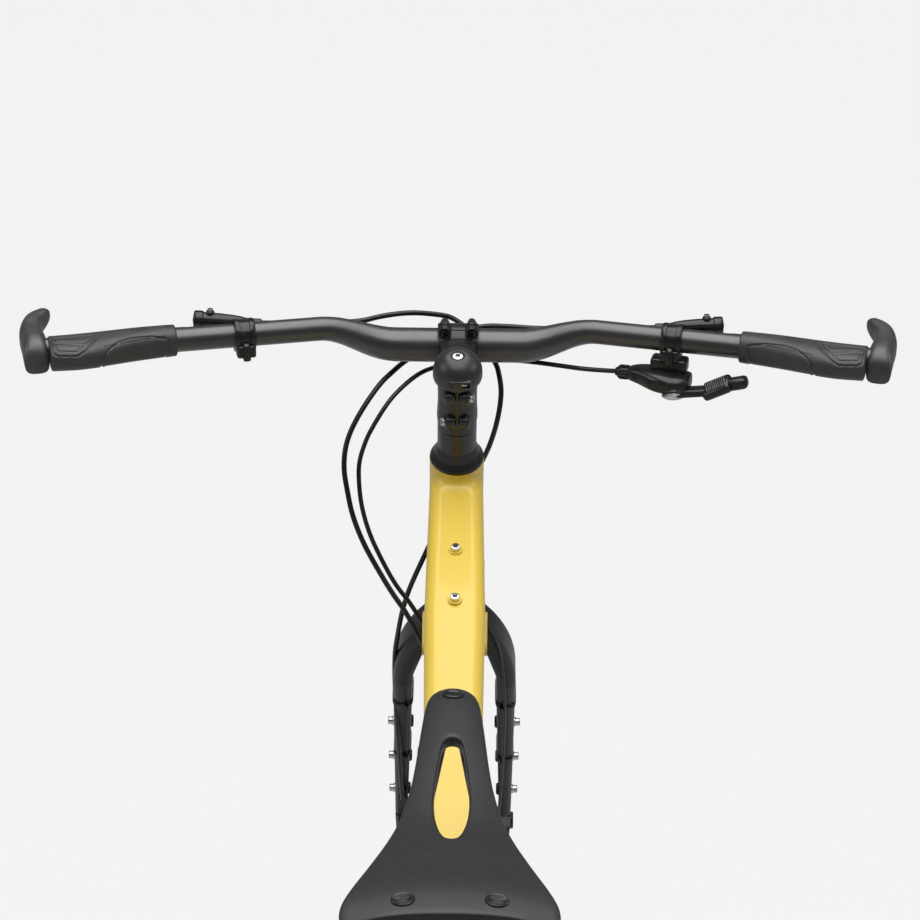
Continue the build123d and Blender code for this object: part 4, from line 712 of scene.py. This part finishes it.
BLADE_BACK = -0.017
HOSE_RADIUS, HOUSING_RADIUS, WIRE_RADIUS = 0.0025, 0.0022, 0.0016
lever_port = barrel @ Vector((0, 0, -0.0246))
left_port = mirror @ lever_port
front_route = [left_port] + by_bar(
    (-0.150, 0.020, 0.012), (-0.0928, 0.030, 0.0105), (-0.0743, 0.038, 0.0135), (-0.0462, 0.046, 0.0150),
    (-0.0179, 0.052, 0.0107), (-0.0036, 0.054, 0.0066), (0.020, 0.042, -0.010), (0.0361, 0.022, -0.0264),
    (0.0390, 0.016, -0.0357), (0.0409, 0.010, -0.0456), (0.0410, 0.006, -0.0538),
    (0.0395, 0.002, -0.0670), (0.0364, 0.000, -0.0824), (0.0326, 0.000, -0.0962),
    (0.0283, 0.002, -0.1096), (0.014, 0.022, -0.150), (-0.012, 0.024, -0.186), (-0.0308, 0.010, -0.2244),
    (-0.0453, 0.014, -0.2616), (-0.0523, 0.018, -0.2882), (-0.0563, 0.024, -0.3139),
    (-0.0618, 0.040, -0.3568))
front_route += by_fork((-0.058, BLADE_BACK + 0.006, -RACE - 0.220), (-0.054, -0.012, -AXLE_DOWN + 0.112))
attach(hose("front_hose", front_route, HOSE_RADIUS, "front_brake_hose"), "steering")
wire_route = by_fork((0.046, 0.029, -AXLE_DOWN + 0.008), (0.046, 0.003, -AXLE_DOWN + 0.030),
                     (0.052, 0.001, -AXLE_DOWN + 0.110), (0.052, BLADE_BACK - 0.003, -RACE - 0.090),
                     (0.026, BLADE_BACK + 0.0015, -RACE - 0.030), (0.018, -0.004, -RACE - 0.018))
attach(hose("hub_wire", wire_route, WIRE_RADIUS, "dynamo_wire"), "steering")
port = down_start + down_slope * 0.090
port_in = Vector((-0.0270, port.y, port.z))
rear_route = [lever_port] + by_bar(
    (0.120, 0.026, 0.008), (0.0775, 0.030, 0.0057), (0.0484, 0.036, 0.0055), (0.0201, 0.040, 0.0046),
    (-0.020, 0.034, -0.008), (-0.0509, 0.014, -0.0227), (-0.0619, 0.004, -0.0299),
    (-0.0728, -0.006, -0.0371), (-0.0907, -0.024, -0.0589), (-0.1031, -0.036, -0.0823),
    (-0.1056, -0.046, -0.1052), (-0.1018, -0.053, -0.1257), (-0.0969, -0.062, -0.1471),
    (-0.0863, -0.069, -0.1730), (-0.0730, -0.075, -0.1959), (-0.0589, -0.080, -0.2194),
    (-0.0438, -0.085, -0.2393))
rear_route.append(port_in + down_slope * 0.016)
shift_port = adjuster_place @ Vector((0, 0, 0.0130))
shift_route = [shift_port] + by_bar(
    (0.1210, -0.022, -0.0144), (0.0948, -0.008, -0.0162), (0.0663, 0.006, -0.0178),
    (0.020, 0.020, -0.020), (-0.0233, 0.010, -0.0263), (-0.0389, 0.002, -0.0312),
    (-0.0556, -0.012, -0.0417), (-0.0666, -0.022, -0.0523), (-0.0792, -0.034, -0.0706),
    (-0.0847, -0.038, -0.0811), (-0.0911, -0.047, -0.0990), (-0.0909, -0.053, -0.1182),
    (-0.0883, -0.060, -0.1386), (-0.0811, -0.066, -0.1634), (-0.0694, -0.070, -0.1890),
    (-0.0554, -0.073, -0.2154), (-0.0408, -0.076, -0.2325))
shift_route.append(port_in - down_slope * 0.004)
for name, route, radius, node in (("rear_hose", rear_route, HOSE_RADIUS, "rear_brake_hose"),
                                  ("shift_cable", shift_route, HOUSING_RADIUS, "shift_housing")):
    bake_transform(hose(name, route, radius, node))

# Cable ties: thin black nylon straps drawn tight round the fork's blades, each with its square lock.
# They hold the hose on the left blade and the wire on the right one.
STRAP = [(0, -0.0012), (0.0012, -0.0012), (0.0012, 0.0012), (0, 0.0012)]
STRAP_SLACK = 0.0001
TIE_DROPS = ((-1, 0.342), (-1, 0.437), (1, 0.344), (1, 0.443))


def strap(half_wide, half_deep):
    """A strap about a blade of these half sizes, with a flat section."""
    def strap_skin(turn, share):
        off, up = STRAP[round(share * 4) % 4]
        c, s = section(turn, 6)
        return Vector((c * (half_wide + off), s * (half_deep + off), up))
    return wrapped(strap_skin, 48, 4)


ties = bmesh.new()
for side, drop in TIE_DROPS:
    low = (drop - RACE - CROWN_LONG) / BLADE_LONG
    half_wide = 0.0100 - 0.0040 * low + STRAP_SLACK
    half_deep = 0.0210 - 0.0060 * low + STRAP_SLACK
    middle = Vector((side * (0.0520 + 0.0040 * low), 0.008 + BLADE_RAKE * low, -drop))
    place = facing(steering @ middle, steering.col[2].xyz)
    gather(ties, strap(half_wide, half_deep), place)
    lock = place @ moved(-side * 0.004, -half_deep - 0.0028, 0)
    gather(ties, block((0.0046, 0.0044, 0.0044), 0.0008), lock)
show("cable_ties", ties, hose_black, "steering", "hose_plastic")

# Saddle: moulded rubber shell with a canvas face, a rolled edge, a long cut-out with a raised lip, and rivets
# at the nose and the back. The shell is bent up from a flat outline, ring by ring from the cut-out outwards.
OUTLINE = [(0.2240, 0.0), (0.2225, 0.0060), (0.2170, 0.0120), (0.2085, 0.0165), (0.1985, 0.0188),
           (0.1800, 0.0205), (0.1630, 0.0219), (0.1450, 0.0232), (0.1230, 0.0249), (0.1010, 0.0271),
           (0.0800, 0.0302), (0.0590, 0.0342), (0.0390, 0.0392), (0.0190, 0.0448), (-0.0010, 0.0512),
           (-0.0200, 0.0584), (-0.0380, 0.0652), (-0.0480, 0.0687), (-0.0560, 0.0698), (-0.0620, 0.0690),
           (-0.0648, 0.0655), (-0.0652, 0.0580), (-0.0640, 0.0400), (-0.0632, 0.0200), (-0.0630, 0.0)]
CUT_OUT = [(0.1530, 0.0), (0.1524, 0.0028), (0.1495, 0.0056), (0.1410, 0.0080), (0.1230, 0.0103),
           (0.1010, 0.0123), (0.0860, 0.0132), (0.0740, 0.0133), (0.0610, 0.0125), (0.0480, 0.0106),
           (0.0370, 0.0078), (0.0305, 0.0049), (0.0288, 0.0024), (0.0285, 0.0)]
SADDLE_CREST = [(-0.224, 0.0040), (-0.20, 0.0048), (-0.15, 0.0015), (-0.06, -0.005), (0.0, 0.0),
                (0.04, 0.004), (0.066, 0.002)]
# Each step rolls both edges: the outer one inwards and the cut-out's outwards, and down.
EDGE_ROLL = [(-0.0010, 0.0012), (-0.0004, 0.0030), (0.0010, 0.0050), (0.0034, 0.0022), (0.0060, -0.0010)]
# The edges roll about these stretches of the middle line.
CUT_OUT_SPINE, EDGE_SPINE = (0.05, 0.12), (-0.03, 0.19)
NOSE_STARTS, NOSE_LONG = 0.196, 0.028
SIDE_DROP, WING_DROP, WING_LONG, SIDE_CURVE = 0.0035, 0.004, 0.06, 2.4
RING = 96


def around_edge(table, share):
    """Point at a share of the way round an outline whose right half a table gives, nose first."""
    half = [Vector((x, y, 0)) for y, x in table]
    runs = [(b - a).length for a, b in zip(half, half[1:])]
    left = share > 0.5
    want = (1 - share if left else share) * 2 * sum(runs)
    for a, b, run in zip(half, half[1:], runs):
        if want <= run or b is half[-1]:
            spot = a.lerp(b, min(want / run, 1))
            return Vector((-spot.x if left else spot.x, spot.y, 0))
        want -= run


def half_width(y):
    """Half the saddle's width at a distance ahead of the sit point."""
    for (y0, x0), (y1, x1) in zip(OUTLINE, OUTLINE[1:]):
        if y1 <= y <= y0 and y0 > y1:
            return x0 + (x1 - x0) * (y0 - y) / (y0 - y1)
    return 0.002 if y > 0 else 0.066


def crown(spot):
    """Height of the saddle's face over a point."""
    along = between(SADDLE_CREST, -spot.y)[0]
    nose = max(spot.y - NOSE_STARTS, 0) / NOSE_LONG
    out = min(hypot(spot.x / half_width(min(spot.y, NOSE_STARTS)), nose), 1)
    return along - (SIDE_DROP + WING_DROP * min(max(-spot.y / WING_LONG, 0), 1)) * out ** SIDE_CURVE


saddle = bmesh.new()
order = saddle.verts.layers.int.new("order")
slot_ring = bmesh.ops.create_circle(saddle, radius=1, segments=RING)["verts"]
edge_ring = bmesh.ops.create_circle(saddle, radius=2, segments=RING)["verts"]
for ring, table, first in ((slot_ring, CUT_OUT, 1), (edge_ring, OUTLINE, RING + 1)):
    for k, point in enumerate(ring):
        point.co = around_edge(table, k / RING)
        point[order] = first + k
bmesh.ops.bridge_loops(saddle, edges=saddle.edges[:])
spokes_out = [e for e in saddle.edges if len({v in slot_ring for v in e.verts}) == 2]
bmesh.ops.subdivide_edges(saddle, edges=spokes_out, cuts=11, use_grid_fill=True)
for point in saddle.verts:
    point.co.z = crown(point.co)
lips = [e for e in saddle.edges if e.is_boundary]
for inset_by, drop_by in EDGE_ROLL:
    drawn = bmesh.ops.extrude_edge_only(saddle, edges=lips)["geom"]
    lips = [g for g in drawn if isinstance(g, bmesh.types.BMEdge)]
    for point in drawn:
        if isinstance(point, bmesh.types.BMVert):
            inner = point[order] <= RING
            near, far = CUT_OUT_SPINE if inner else EDGE_SPINE
            middle = Vector((0, min(max(point.co.y, near), far), point.co.z))
            way = (point.co - middle).normalized()
            point.co += way * (inset_by if inner else -inset_by)
            point.co.z -= drop_by
seam = {point[order]: point.co.copy() for edge in lips for point in edge.verts}
drawn = bmesh.ops.extrude_edge_only(saddle, edges=[e for e in lips if e.verts[0][order] > RING])["geom"]
for point in drawn:
    if isinstance(point, bmesh.types.BMVert):
        point.co = seam[point[order] - RING]
bmesh.ops.remove_doubles(saddle, verts=saddle.verts, dist=1e-6)
saddle_rubber = finish("saddle_rubber", (0.022, 0.022, 0.023), (0.028, 0.028, 0.0295), (0.36, 0.44), 400,
                       2600, 0.00016)
cover = show("saddle_cover", saddle, saddle_rubber, "frame", "saddle_rubber", "saddle_top", sharp=70)
softened = cover.modifiers.new("softened", "SUBSURF")
softened.levels = softened.render_levels = 1
RIVETS = ((0, 0.2065), (-0.0298, -0.0505), (0.0298, -0.0505))
RIVET_NEAR, RIVET_OVAL = 0.004, 0.82
rivet_spots = []
for x, y in RIVETS:
    spot = Vector((x, y, 0))
    spot.z = crown(spot)
    ahead, aside = Vector((x, y + RIVET_NEAR, 0)), Vector((x + RIVET_NEAR, y, 0))
    ahead.z, aside.z = crown(ahead), crown(aside)
    rivet_spots.append(facing(spot, (aside - spot).cross(ahead - spot)))
rivet = turned([(0, 0.0004), (0.0050, 0.0004), (0.0058, 0.0010), (0.0068, 0.0012), (0.0078, 0.0006),
                (0.0080, -0.0008), (0, -0.0008)], 40)
rivets = gather(bmesh.new(), rivet, *[spot @ Matrix.Scale(RIVET_OVAL, 4, (0, 1, 0)) for spot in rivet_spots])
show("saddle_rivets", rivets, black_anodised, "frame", "black_metal")
rail_steel = finish("rail_steel", (0.018, 0.018, 0.0185), (0.028, 0.028, 0.029), (0.30, 0.42), 60)
dress(rail_steel, "saddle_rails", "saddle_frame")

# Tyres: black rubber casing with a plain sidewall, a smooth centre ridge and rows of low tread blocks.
# The section is spun round the axle, and the blocks are raised from its own faces.
tyre_rubber = finish("tyre_rubber", (0.012, 0.012, 0.012), (0.021, 0.021, 0.021), (0.62, 0.80), 50, 1800,
                     0.0003)
TYRE_HALF = [(-0.0125, 0.3171), (-0.0165, 0.3205), (-0.0215, 0.3265), (-0.0243, 0.3340), (-0.0245, 0.3405),
             (-0.0228, 0.3465), (-0.0196, 0.3515), (-0.0152, 0.3553), (-0.0105, 0.3578), (-0.0048, 0.3594),
             (-0.0020, 0.3598)]
TREAD_ROWS = ((0.0152, 0.0228), (0.0105, 0.0152), (0.0020, 0.0105))
TREAD_STEPS, TREAD_FROM = 168, 0.340
BLOCK_GAP, BLOCK_HIGH = 0.0010, 0.0011


def both_sides(half):
    """A wheel's section of radius and height, from its left half of height and radius."""
    return [(radius, x) for x, radius in half] + [(radius, -x) for x, radius in reversed(half)]


wheel_places = {name: facing(axle, (1, 0, 0), (0, 1, 0))
                for name, axle in (("front", FRONT_AXLE), ("rear", REAR_AXLE))}
for name, place in wheel_places.items():
    casing = both_sides(TYRE_HALF) + [(0.3160, 0.0080), (0.3160, -0.0080)]
    tyre = turned(closed(casing), TREAD_STEPS)
    for rank, (low, high) in enumerate(TREAD_ROWS):
        band = []
        for face in tyre.faces:
            spot = face.calc_center_median()
            step = floor((atan2(spot.y, spot.x) / (2 * pi) % 1) * TREAD_STEPS + 0.01)
            on_row = low < abs(spot.z) < high and hypot(spot.x, spot.y) > TREAD_FROM
            if on_row and (step + (rank + (spot.z > 0)) % 2) % 2:
                band.append(face)
        bmesh.ops.inset_individual(tyre, faces=band, thickness=BLOCK_GAP, depth=BLOCK_HIGH)
    show(f"{name}_tread", gather(bmesh.new(), tyre, place), tyre_rubber, f"{name}_wheel", "tyre_rubber",
         f"{name}_tyre")

# Rims: extruded alloy box section, rolled to a hoop, joined and anodised black.
# A valve stands inwards between two spokes, with its cap on.
RIM_HALF = [(-0.0075, 0.2952), (-0.0115, 0.2972), (-0.0140, 0.3030), (-0.0145, 0.3100), (-0.0146, 0.3150),
            (-0.0138, 0.3170), (-0.0128, 0.3178), (-0.0122, 0.3166)]
RIM_STEPS = 144
VALVE = [(0, -0.002), (0.0042, -0.002), (0.0042, 0.0012), (0.0030, 0.0016), (0.0030, 0.026), (0.0036, 0.027),
         (0.0036, 0.037), (0.0026, 0.040), (0, 0.040)]
VALVE_TURN, VALVE_FOOT = 5.6, 0.2955
rim_black = finish("rim_black", (0.010, 0.010, 0.0102), (0.017, 0.017, 0.0175), (0.26, 0.38), 70, 1400,
                   0.00005)
for name, place in wheel_places.items():
    wheel = gather(bmesh.new(), turned(closed(both_sides(RIM_HALF)), RIM_STEPS), place)
    gather(wheel, turned(VALVE, 18), place @ spun(VALVE_TURN, "Z") @ moved(VALVE_FOOT, 0, 0) @ spun(-90, "Y"))
    show(f"{name}_rim_hoop", wheel, rim_black, f"{name}_wheel", "black_metal", f"{name}_rim")

# Hubs and spokes: turned black shells with two flanges, the front one fat for its dynamo. Each wheel has
# 32 stainless spokes crossed three times, elbowed at the flange and held by a nipple at the rim.
HUB_STEPS, SPOKES, CROSSES = 56, 16, 3
HEAD_OUT, ELBOW_IN = 0.0024, 0.0006
SPOKE_HEAD = [(0, -0.0010), (0.0012, -0.0009), (0.0019, 0), (0.0012, 0.0008), (0.00105, 0.0058), (0, 0.0060)]
FLANGE_R, NIPPLE_R, RIM_HOLE_X = 0.031, 0.2952, 0.003
FRONT_SHELL = [
    (0.0063, -0.041), (0.012, -0.041), (0.021, -0.0405), (0.022, -0.0395), (0.022, -0.037),
    (0.0285, -0.036), (0.0300, -0.0345), (0.0335, -0.0280), (0.0340, -0.0265), (0.0336, -0.0252),
    (0.0315, -0.0240), (0.0310, -0.020), (0.0310, 0.020), (0.0315, 0.0240), (0.0336, 0.0252),
    (0.0340, 0.0265), (0.0336, 0.0288), (0.0290, 0.0320), (0.0220, 0.0360), (0.0205, 0.0400),
    (0.0190, 0.041), (0.0063, 0.041)]
REAR_SHELL = [
    (0.0063, -0.060), (0.012, -0.060), (0.0212, -0.0596), (0.0220, -0.0588), (0.0220, -0.0535),
    (0.0175, -0.0510), (0.0160, -0.0480), (0.0175, -0.0385), (0.0325, -0.0370), (0.0340, -0.0360),
    (0.0340, -0.0340), (0.0325, -0.0330), (0.0200, -0.0310), (0.0180, -0.0270), (0.0180, 0.0110),
    (0.0200, 0.0150), (0.0325, 0.0170), (0.0340, 0.0180), (0.0340, 0.0200), (0.0325, 0.0210),
    (0.0190, 0.0222), (0.0164, 0.0230), (0.0164, 0.0660), (0.0063, 0.0668)]
# The columns are axle, left flange, right flange and shell.
HUB_TABLE = {"front": (FRONT_AXLE, -0.027, 0.027, FRONT_SHELL),
             "rear": (REAR_AXLE, -0.035, 0.019, REAR_SHELL)}
spoke_steel = finish("spoke_steel", (0.42, 0.42, 0.42), (0.56, 0.56, 0.56), (0.18, 0.30), 80, 0, 0, 1.0)
for name, (axle, left, right, shell) in HUB_TABLE.items():
    hub = gather(bmesh.new(), turned(closed(shell), HUB_STEPS), wheel_places[name])
    show(f"{name}_hub_shell", hub, gloss_black, f"{name}_wheel", "black_metal", f"{name}_hub")
    wires = bmesh.new()
    for flange, rim_x, turn in ((left, -RIM_HOLE_X, 0.0), (right, RIM_HOLE_X, 0.5)):
        for k in range(SPOKES):
            way = 1 if k % 2 else -1
            hole = 2 * pi * (k + turn) / SPOKES
            crossed = hole + way * 2 * pi * CROSSES / SPOKES
            foot = axle + Vector((flange + way * HEAD_OUT, FLANGE_R * cos(hole), FLANGE_R * sin(hole)))
            tip = axle + Vector((rim_x, NIPPLE_R * cos(crossed), NIPPLE_R * sin(crossed)))
            run = (tip - foot).length
            wire = [(0, -0.0004), (0.00105, 0), (0.00100, 0.012), (0.00095, run - 0.014)]
            nipple = [(0.0018, run - 0.0135), (0.0021, run - 0.010), (0.0021, run), (0, run)]
            gather(wires, turned(wire + nipple, 8), facing(foot, tip - foot))
            elbow = facing(foot + Vector((way * ELBOW_IN, 0, 0)), (-way, 0, 0), (0, 1, 0))
            gather(wires, turned(SPOKE_HEAD, 8), elbow)
    show(f"{name}_spokes", wires, spoke_steel, f"{name}_wheel", "steel", sharp=60)

# Rotors: stainless discs, cut from sheet, with a slotted braking ring and six swept arms.
# Each is screwed to its hub on the left by six small screws.
DISC_RINGS = (0.066, 0.0690, 0.0725, 0.0755, 0.080)
DISC_STEPS, DISC_THICK, DISC_ARMS = 120, 0.0018, 6
DISC_MIDDLE = [(0.0221, -0.0009), (0.0265, -0.0009), (0.0265, 0.0009), (0.0221, 0.0009)]
ROTORS = (("front", FRONT_AXLE, -0.0395), ("rear", REAR_AXLE, -0.0557))
brushed_steel = finish("brushed_steel", (0.40, 0.40, 0.40), (0.58, 0.58, 0.58), (0.18, 0.34), 220, 0, 0, 1.0)
for name, axle, x in ROTORS:
    disc = bmesh.new()
    line = [disc.verts.new((radius, 0, 0)) for radius in DISC_RINGS]
    edges = [disc.edges.new(pair) for pair in zip(line, line[1:])]
    bmesh.ops.spin(disc, geom=line + edges, cent=(0, 0, 0), axis=(0, 0, 1), angle=2 * pi, steps=DISC_STEPS,
                   use_merge=True)
    slots = []
    for face in disc.faces:
        spot = face.calc_center_median()
        reach = hypot(spot.x, spot.y)
        step = int((atan2(spot.y, spot.x) / (2 * pi) % 1) * DISC_STEPS)
        row = 0 if reach < DISC_RINGS[2] else 1
        if DISC_RINGS[1] < reach < DISC_RINGS[3] and (step + 2 * row) % 5 in (0, 1):
            slots.append(face)
    bmesh.ops.delete(disc, geom=slots, context="FACES")
    bmesh.ops.solidify(disc, geom=disc.faces[:], thickness=DISC_THICK)
    bmesh.ops.translate(disc, verts=disc.verts, vec=(0, 0, DISC_THICK / 2))
    gather(disc, turned(closed(DISC_MIDDLE), 60), Matrix())
    for k in range(DISC_ARMS):
        turn = spun(360 / DISC_ARMS * k, "Z")
        gather(disc, block((0.047, 0.0065, 0.0017), 0.0004, 1),
               turn @ moved(0.046, 0.012, 0) @ spun(16, "Z"))
        gather(disc, turned([(0, -0.0026), (0.0036, -0.0026), (0.0036, 0.0010), (0, 0.0010)], 12),
               turn @ moved(0.0243, 0.004, 0))
    whole = gather(bmesh.new(), disc, facing(axle + Vector((x, 0, 0)), (1, 0, 0), (0, 1, 0)))
    show(f"{name}_disc", whole, brushed_steel, f"{name}_wheel", "steel", f"{name}_rotor", sharp=30)

# Drivetrain: nickel cogs, alloy ring and cranks, platform pedals and a long-cage derailleur.
# The chain is made link by link along its own loop: outer and inner plates with rollers between.
cog_steel = finish("cog_steel", (0.30, 0.30, 0.305), (0.45, 0.45, 0.455), (0.24, 0.38), 90, 0, 0, 1.0)
dress(cog_steel, "cassette")
crank_black = finish("crank_black", (0.012, 0.012, 0.0122), (0.020, 0.020, 0.0205), (0.22, 0.34), 45, 1400,
                     0.00004)
dress(crank_black, "crank_right", "crank_left", "chainring", "pedal_right", "pedal_left", "rear_derailleur",
      "front_caliper", "rear_caliper", "jockey_wheels")
CHAIN_X, PITCH = 0.047, 0.0127
COG_TEETH, RING_TEETH, JOCKEY_TEETH = 21, 36, 12
PLATE_ROUND, PLATE_WAIST = 0.42, 0.72
guide = REAR_AXLE + Vector((0, 0.012, -0.096))
tension = REAR_AXLE + Vector((0, 0.034, -0.176))


def pitch_circle(teeth):
    """Radius of the circle that a chain's pins follow on a wheel."""
    return PITCH / 2 / sin(pi / teeth)


stops = [(REAR_AXLE, pitch_circle(COG_TEETH), -1), (BOTTOM_BRACKET, pitch_circle(RING_TEETH), -1),
         (tension, pitch_circle(JOCKEY_TEETH), -1), (guide, pitch_circle(JOCKEY_TEETH), 1)]
runs = []
for k, (here, r_here, turn_here) in enumerate(stops):
    there, r_there, turn_there = stops[(k + 1) % 4]
    gap = there - here
    heading = atan2(gap.z, gap.y) - asin((turn_there * r_there - turn_here * r_here) / hypot(gap.y, gap.z))
    aside = Vector((0, -sin(heading), cos(heading)))
    runs.append((here - aside * turn_here * r_here, there - aside * turn_there * r_there, heading))
loop = []
for k, (start, end, heading) in enumerate(runs):
    loop.append(("run", (end - start).length, start, heading, None))
    centre, radius, turn = stops[(k + 1) % 4]
    swing = (turn * (runs[(k + 1) % 4][2] - heading)) % (2 * pi)
    loop.append(("arc", swing * radius, end, heading, (centre, radius, turn)))
loop_long = sum(piece[1] for piece in loop)
pins = 2 * round(loop_long / PITCH / 2)


def on_loop(share):
    """Pin's place on the chain's loop."""
    want = share * loop_long
    for kind, long, start, heading, wheel in loop:
        if want <= long or (kind == "arc" and wheel[0] is guide and want <= long + 1e-6):
            if kind == "run":
                return start + Vector((0, cos(heading), sin(heading))) * want
            centre, radius, turn = wheel
            begin = atan2(start.z - centre.z, start.y - centre.y) + turn * want / radius
            return centre + Vector((0, cos(begin), sin(begin))) * radius
        want -= long
    return runs[0][0].copy()


links = {"outer": [], "inner": [], "pin": []}
for k in range(pins):
    a, b = on_loop(k / pins), on_loop((k + 1) / pins)
    a.x = b.x = CHAIN_X
    links["pin"].append(facing(a, (1, 0, 0), b - a))
    links["outer" if k % 2 else "inner"].append(facing((a + b) / 2, (1, 0, 0), b - a))
chain = bmesh.new()


def plate(long, tall, thick):
    """A chain plate: a bar with rounded ends, waisted in the middle."""
    part = bmesh.new()
    bmesh.ops.create_cube(part, size=1)
    bmesh.ops.scale(part, vec=(long, tall, thick), verts=part.verts)
    upright = [e for e in part.edges if abs(e.verts[0].co.z - e.verts[1].co.z) > thick / 2]
    eased(part, upright, tall * PLATE_ROUND, 2)
    bmesh.ops.bisect_plane(part, geom=part.verts[:] + part.edges[:] + part.faces[:], plane_co=(0, 0, 0),
                           plane_no=(1, 0, 0))
    for point in part.verts:
        if abs(point.co.x) < 1e-6:
            point.co.y *= PLATE_WAIST
    return part


for kind, long, tall, off in (("outer", 0.0212, 0.0084, 0.0027), ("inner", 0.0208, 0.0082, 0.0016)):
    gather(chain, plate(long, tall, 0.0010), *[p @ moved(0, 0, z) for p in links[kind] for z in (-off, off)])
gather(chain, turned([(0, -0.0034), (0.0017, -0.0034), (0.0017, -0.0011), (0.0038, -0.0011), (0.0038, 0.0011),
                      (0.0017, 0.0011), (0.0017, 0.0034), (0, 0.0034)], 8), *links["pin"])
chain_steel = finish("chain_steel", (0.22, 0.22, 0.22), (0.36, 0.36, 0.35), (0.26, 0.42), 120, 0, 0, 1.0)
show("chain_links", chain, chain_steel, "frame", "steel", "chain")

# Stage: pale paper floor under the tyres, a plain pale surround and large soft lamps.
# Floor and surround look even to the camera, and light the bicycle only faintly.
FLOOR_SIZE = 30
paper = bmesh.new()
bmesh.ops.create_grid(paper, x_segments=1, y_segments=1, size=FLOOR_SIZE)
bmesh.ops.translate(paper, verts=paper.verts, vec=(0, 0, cad_box[0].z))
floor_mesh = bpy.data.meshes.new("floor")
paper.to_mesh(floor_mesh)
paper.free()
floor_sheet = hung("floor", floor_mesh)


def mixed(tree, share, first, second, end):
    """Sends a mix of two shaders to an end node's surface."""
    mix = outputs_of(tree, "MixShader", {0: share, 1: first, 2: second})
    feed(tree, tree.nodes[end], {"Surface": mix[0]})


def worked_out(tree, work, first, second):
    """Output of a node that works one value out of two."""
    node = tree.nodes.new("ShaderNodeMath")
    node.operation = work
    feed(tree, node, {0: first, 1: second})
    return node.outputs[0]


pale_paper = bpy.data.materials.new("pale_paper")
pale_paper.use_nodes = True
tree = pale_paper.node_tree
matt = tree.nodes["Principled BSDF"]
feed(tree, matt, {"Base Color": (0.60, 0.60, 0.60, 1), "Roughness": 0.9})
seen = outputs_of(tree, "Emission", {"Color": (0.925, 0.925, 0.925, 1)})
ray = outputs_of(tree, "LightPath", {})
dimmed = worked_out(tree, "MULTIPLY", ray["Is Glossy Ray"], 0.2)
either = worked_out(tree, "MAXIMUM", ray["Is Camera Ray"], dimmed)
any_ray = worked_out(tree, "MAXIMUM", either, ray["Is Transmission Ray"])
mixed(tree, worked_out(tree, "MULTIPLY", any_ray, 0.95), matt.outputs[0], seen[0], "Material Output")
floor_mesh.materials.append(pale_paper)
world = bpy.data.worlds.new("studio")
bpy.context.scene.world = world
world.use_nodes = True
tree = world.node_tree
surround = tree.nodes["Background"]
feed(tree, surround, {"Color": (0.96, 0.98, 1.0, 1), "Strength": 0.15})
backdrop = outputs_of(tree, "Background", {"Color": (0.905, 0.905, 0.905, 1)})
ray = outputs_of(tree, "LightPath", {})
mixed(tree, ray["Is Camera Ray"], surround.outputs[0], backdrop[0], "World Output")
# The columns are name, place, aim, width, length and power.
LAMPS = [("lamp_over", (0, 0.45, 2.4), (0, 0.45, 0), 2.4, 3.5, 79),
         ("lamp_left", (-2.2, 0.2, 1.2), (0, 0.5, -0.2), 1.2, 1.2, 10),
         ("lamp_right", (2.2, 0.6, 1.2), (0, 0.5, -0.2), 1.2, 1.2, 10)]
for name, spot, aim, wide, long, power in LAMPS:
    lamp = bpy.data.lights.new(name, "AREA")
    lamp.shape = "RECTANGLE"
    lamp.size, lamp.size_y = wide, long
    lamp.energy = power
    holder = hung(name, lamp)
    holder.location = spot
    holder.rotation_euler = (Vector(aim) - Vector(spot)).to_track_quat("-Z", "Y").to_euler()

# Camera: behind and above the saddle, looking forward and down, as in the photograph.
# It is turned a little about its own line of sight.
LENS_MM, SENSOR_MM = 90.0, 36.0
EYE = (0.003, -1.2673, 0.8493)
LOOK_DOWN, TURNED = 24.0, 0.68
camera = hung("camera", bpy.data.cameras.new("camera"))
camera.data.lens = LENS_MM
camera.data.sensor_width = SENSOR_MM
camera.matrix_world = moved(*EYE) @ spun(90 - LOOK_DOWN, "X") @ spun(TURNED, "Z")
bpy.context.scene.camera = camera
bpy.context.scene.view_settings.view_transform = "Standard"
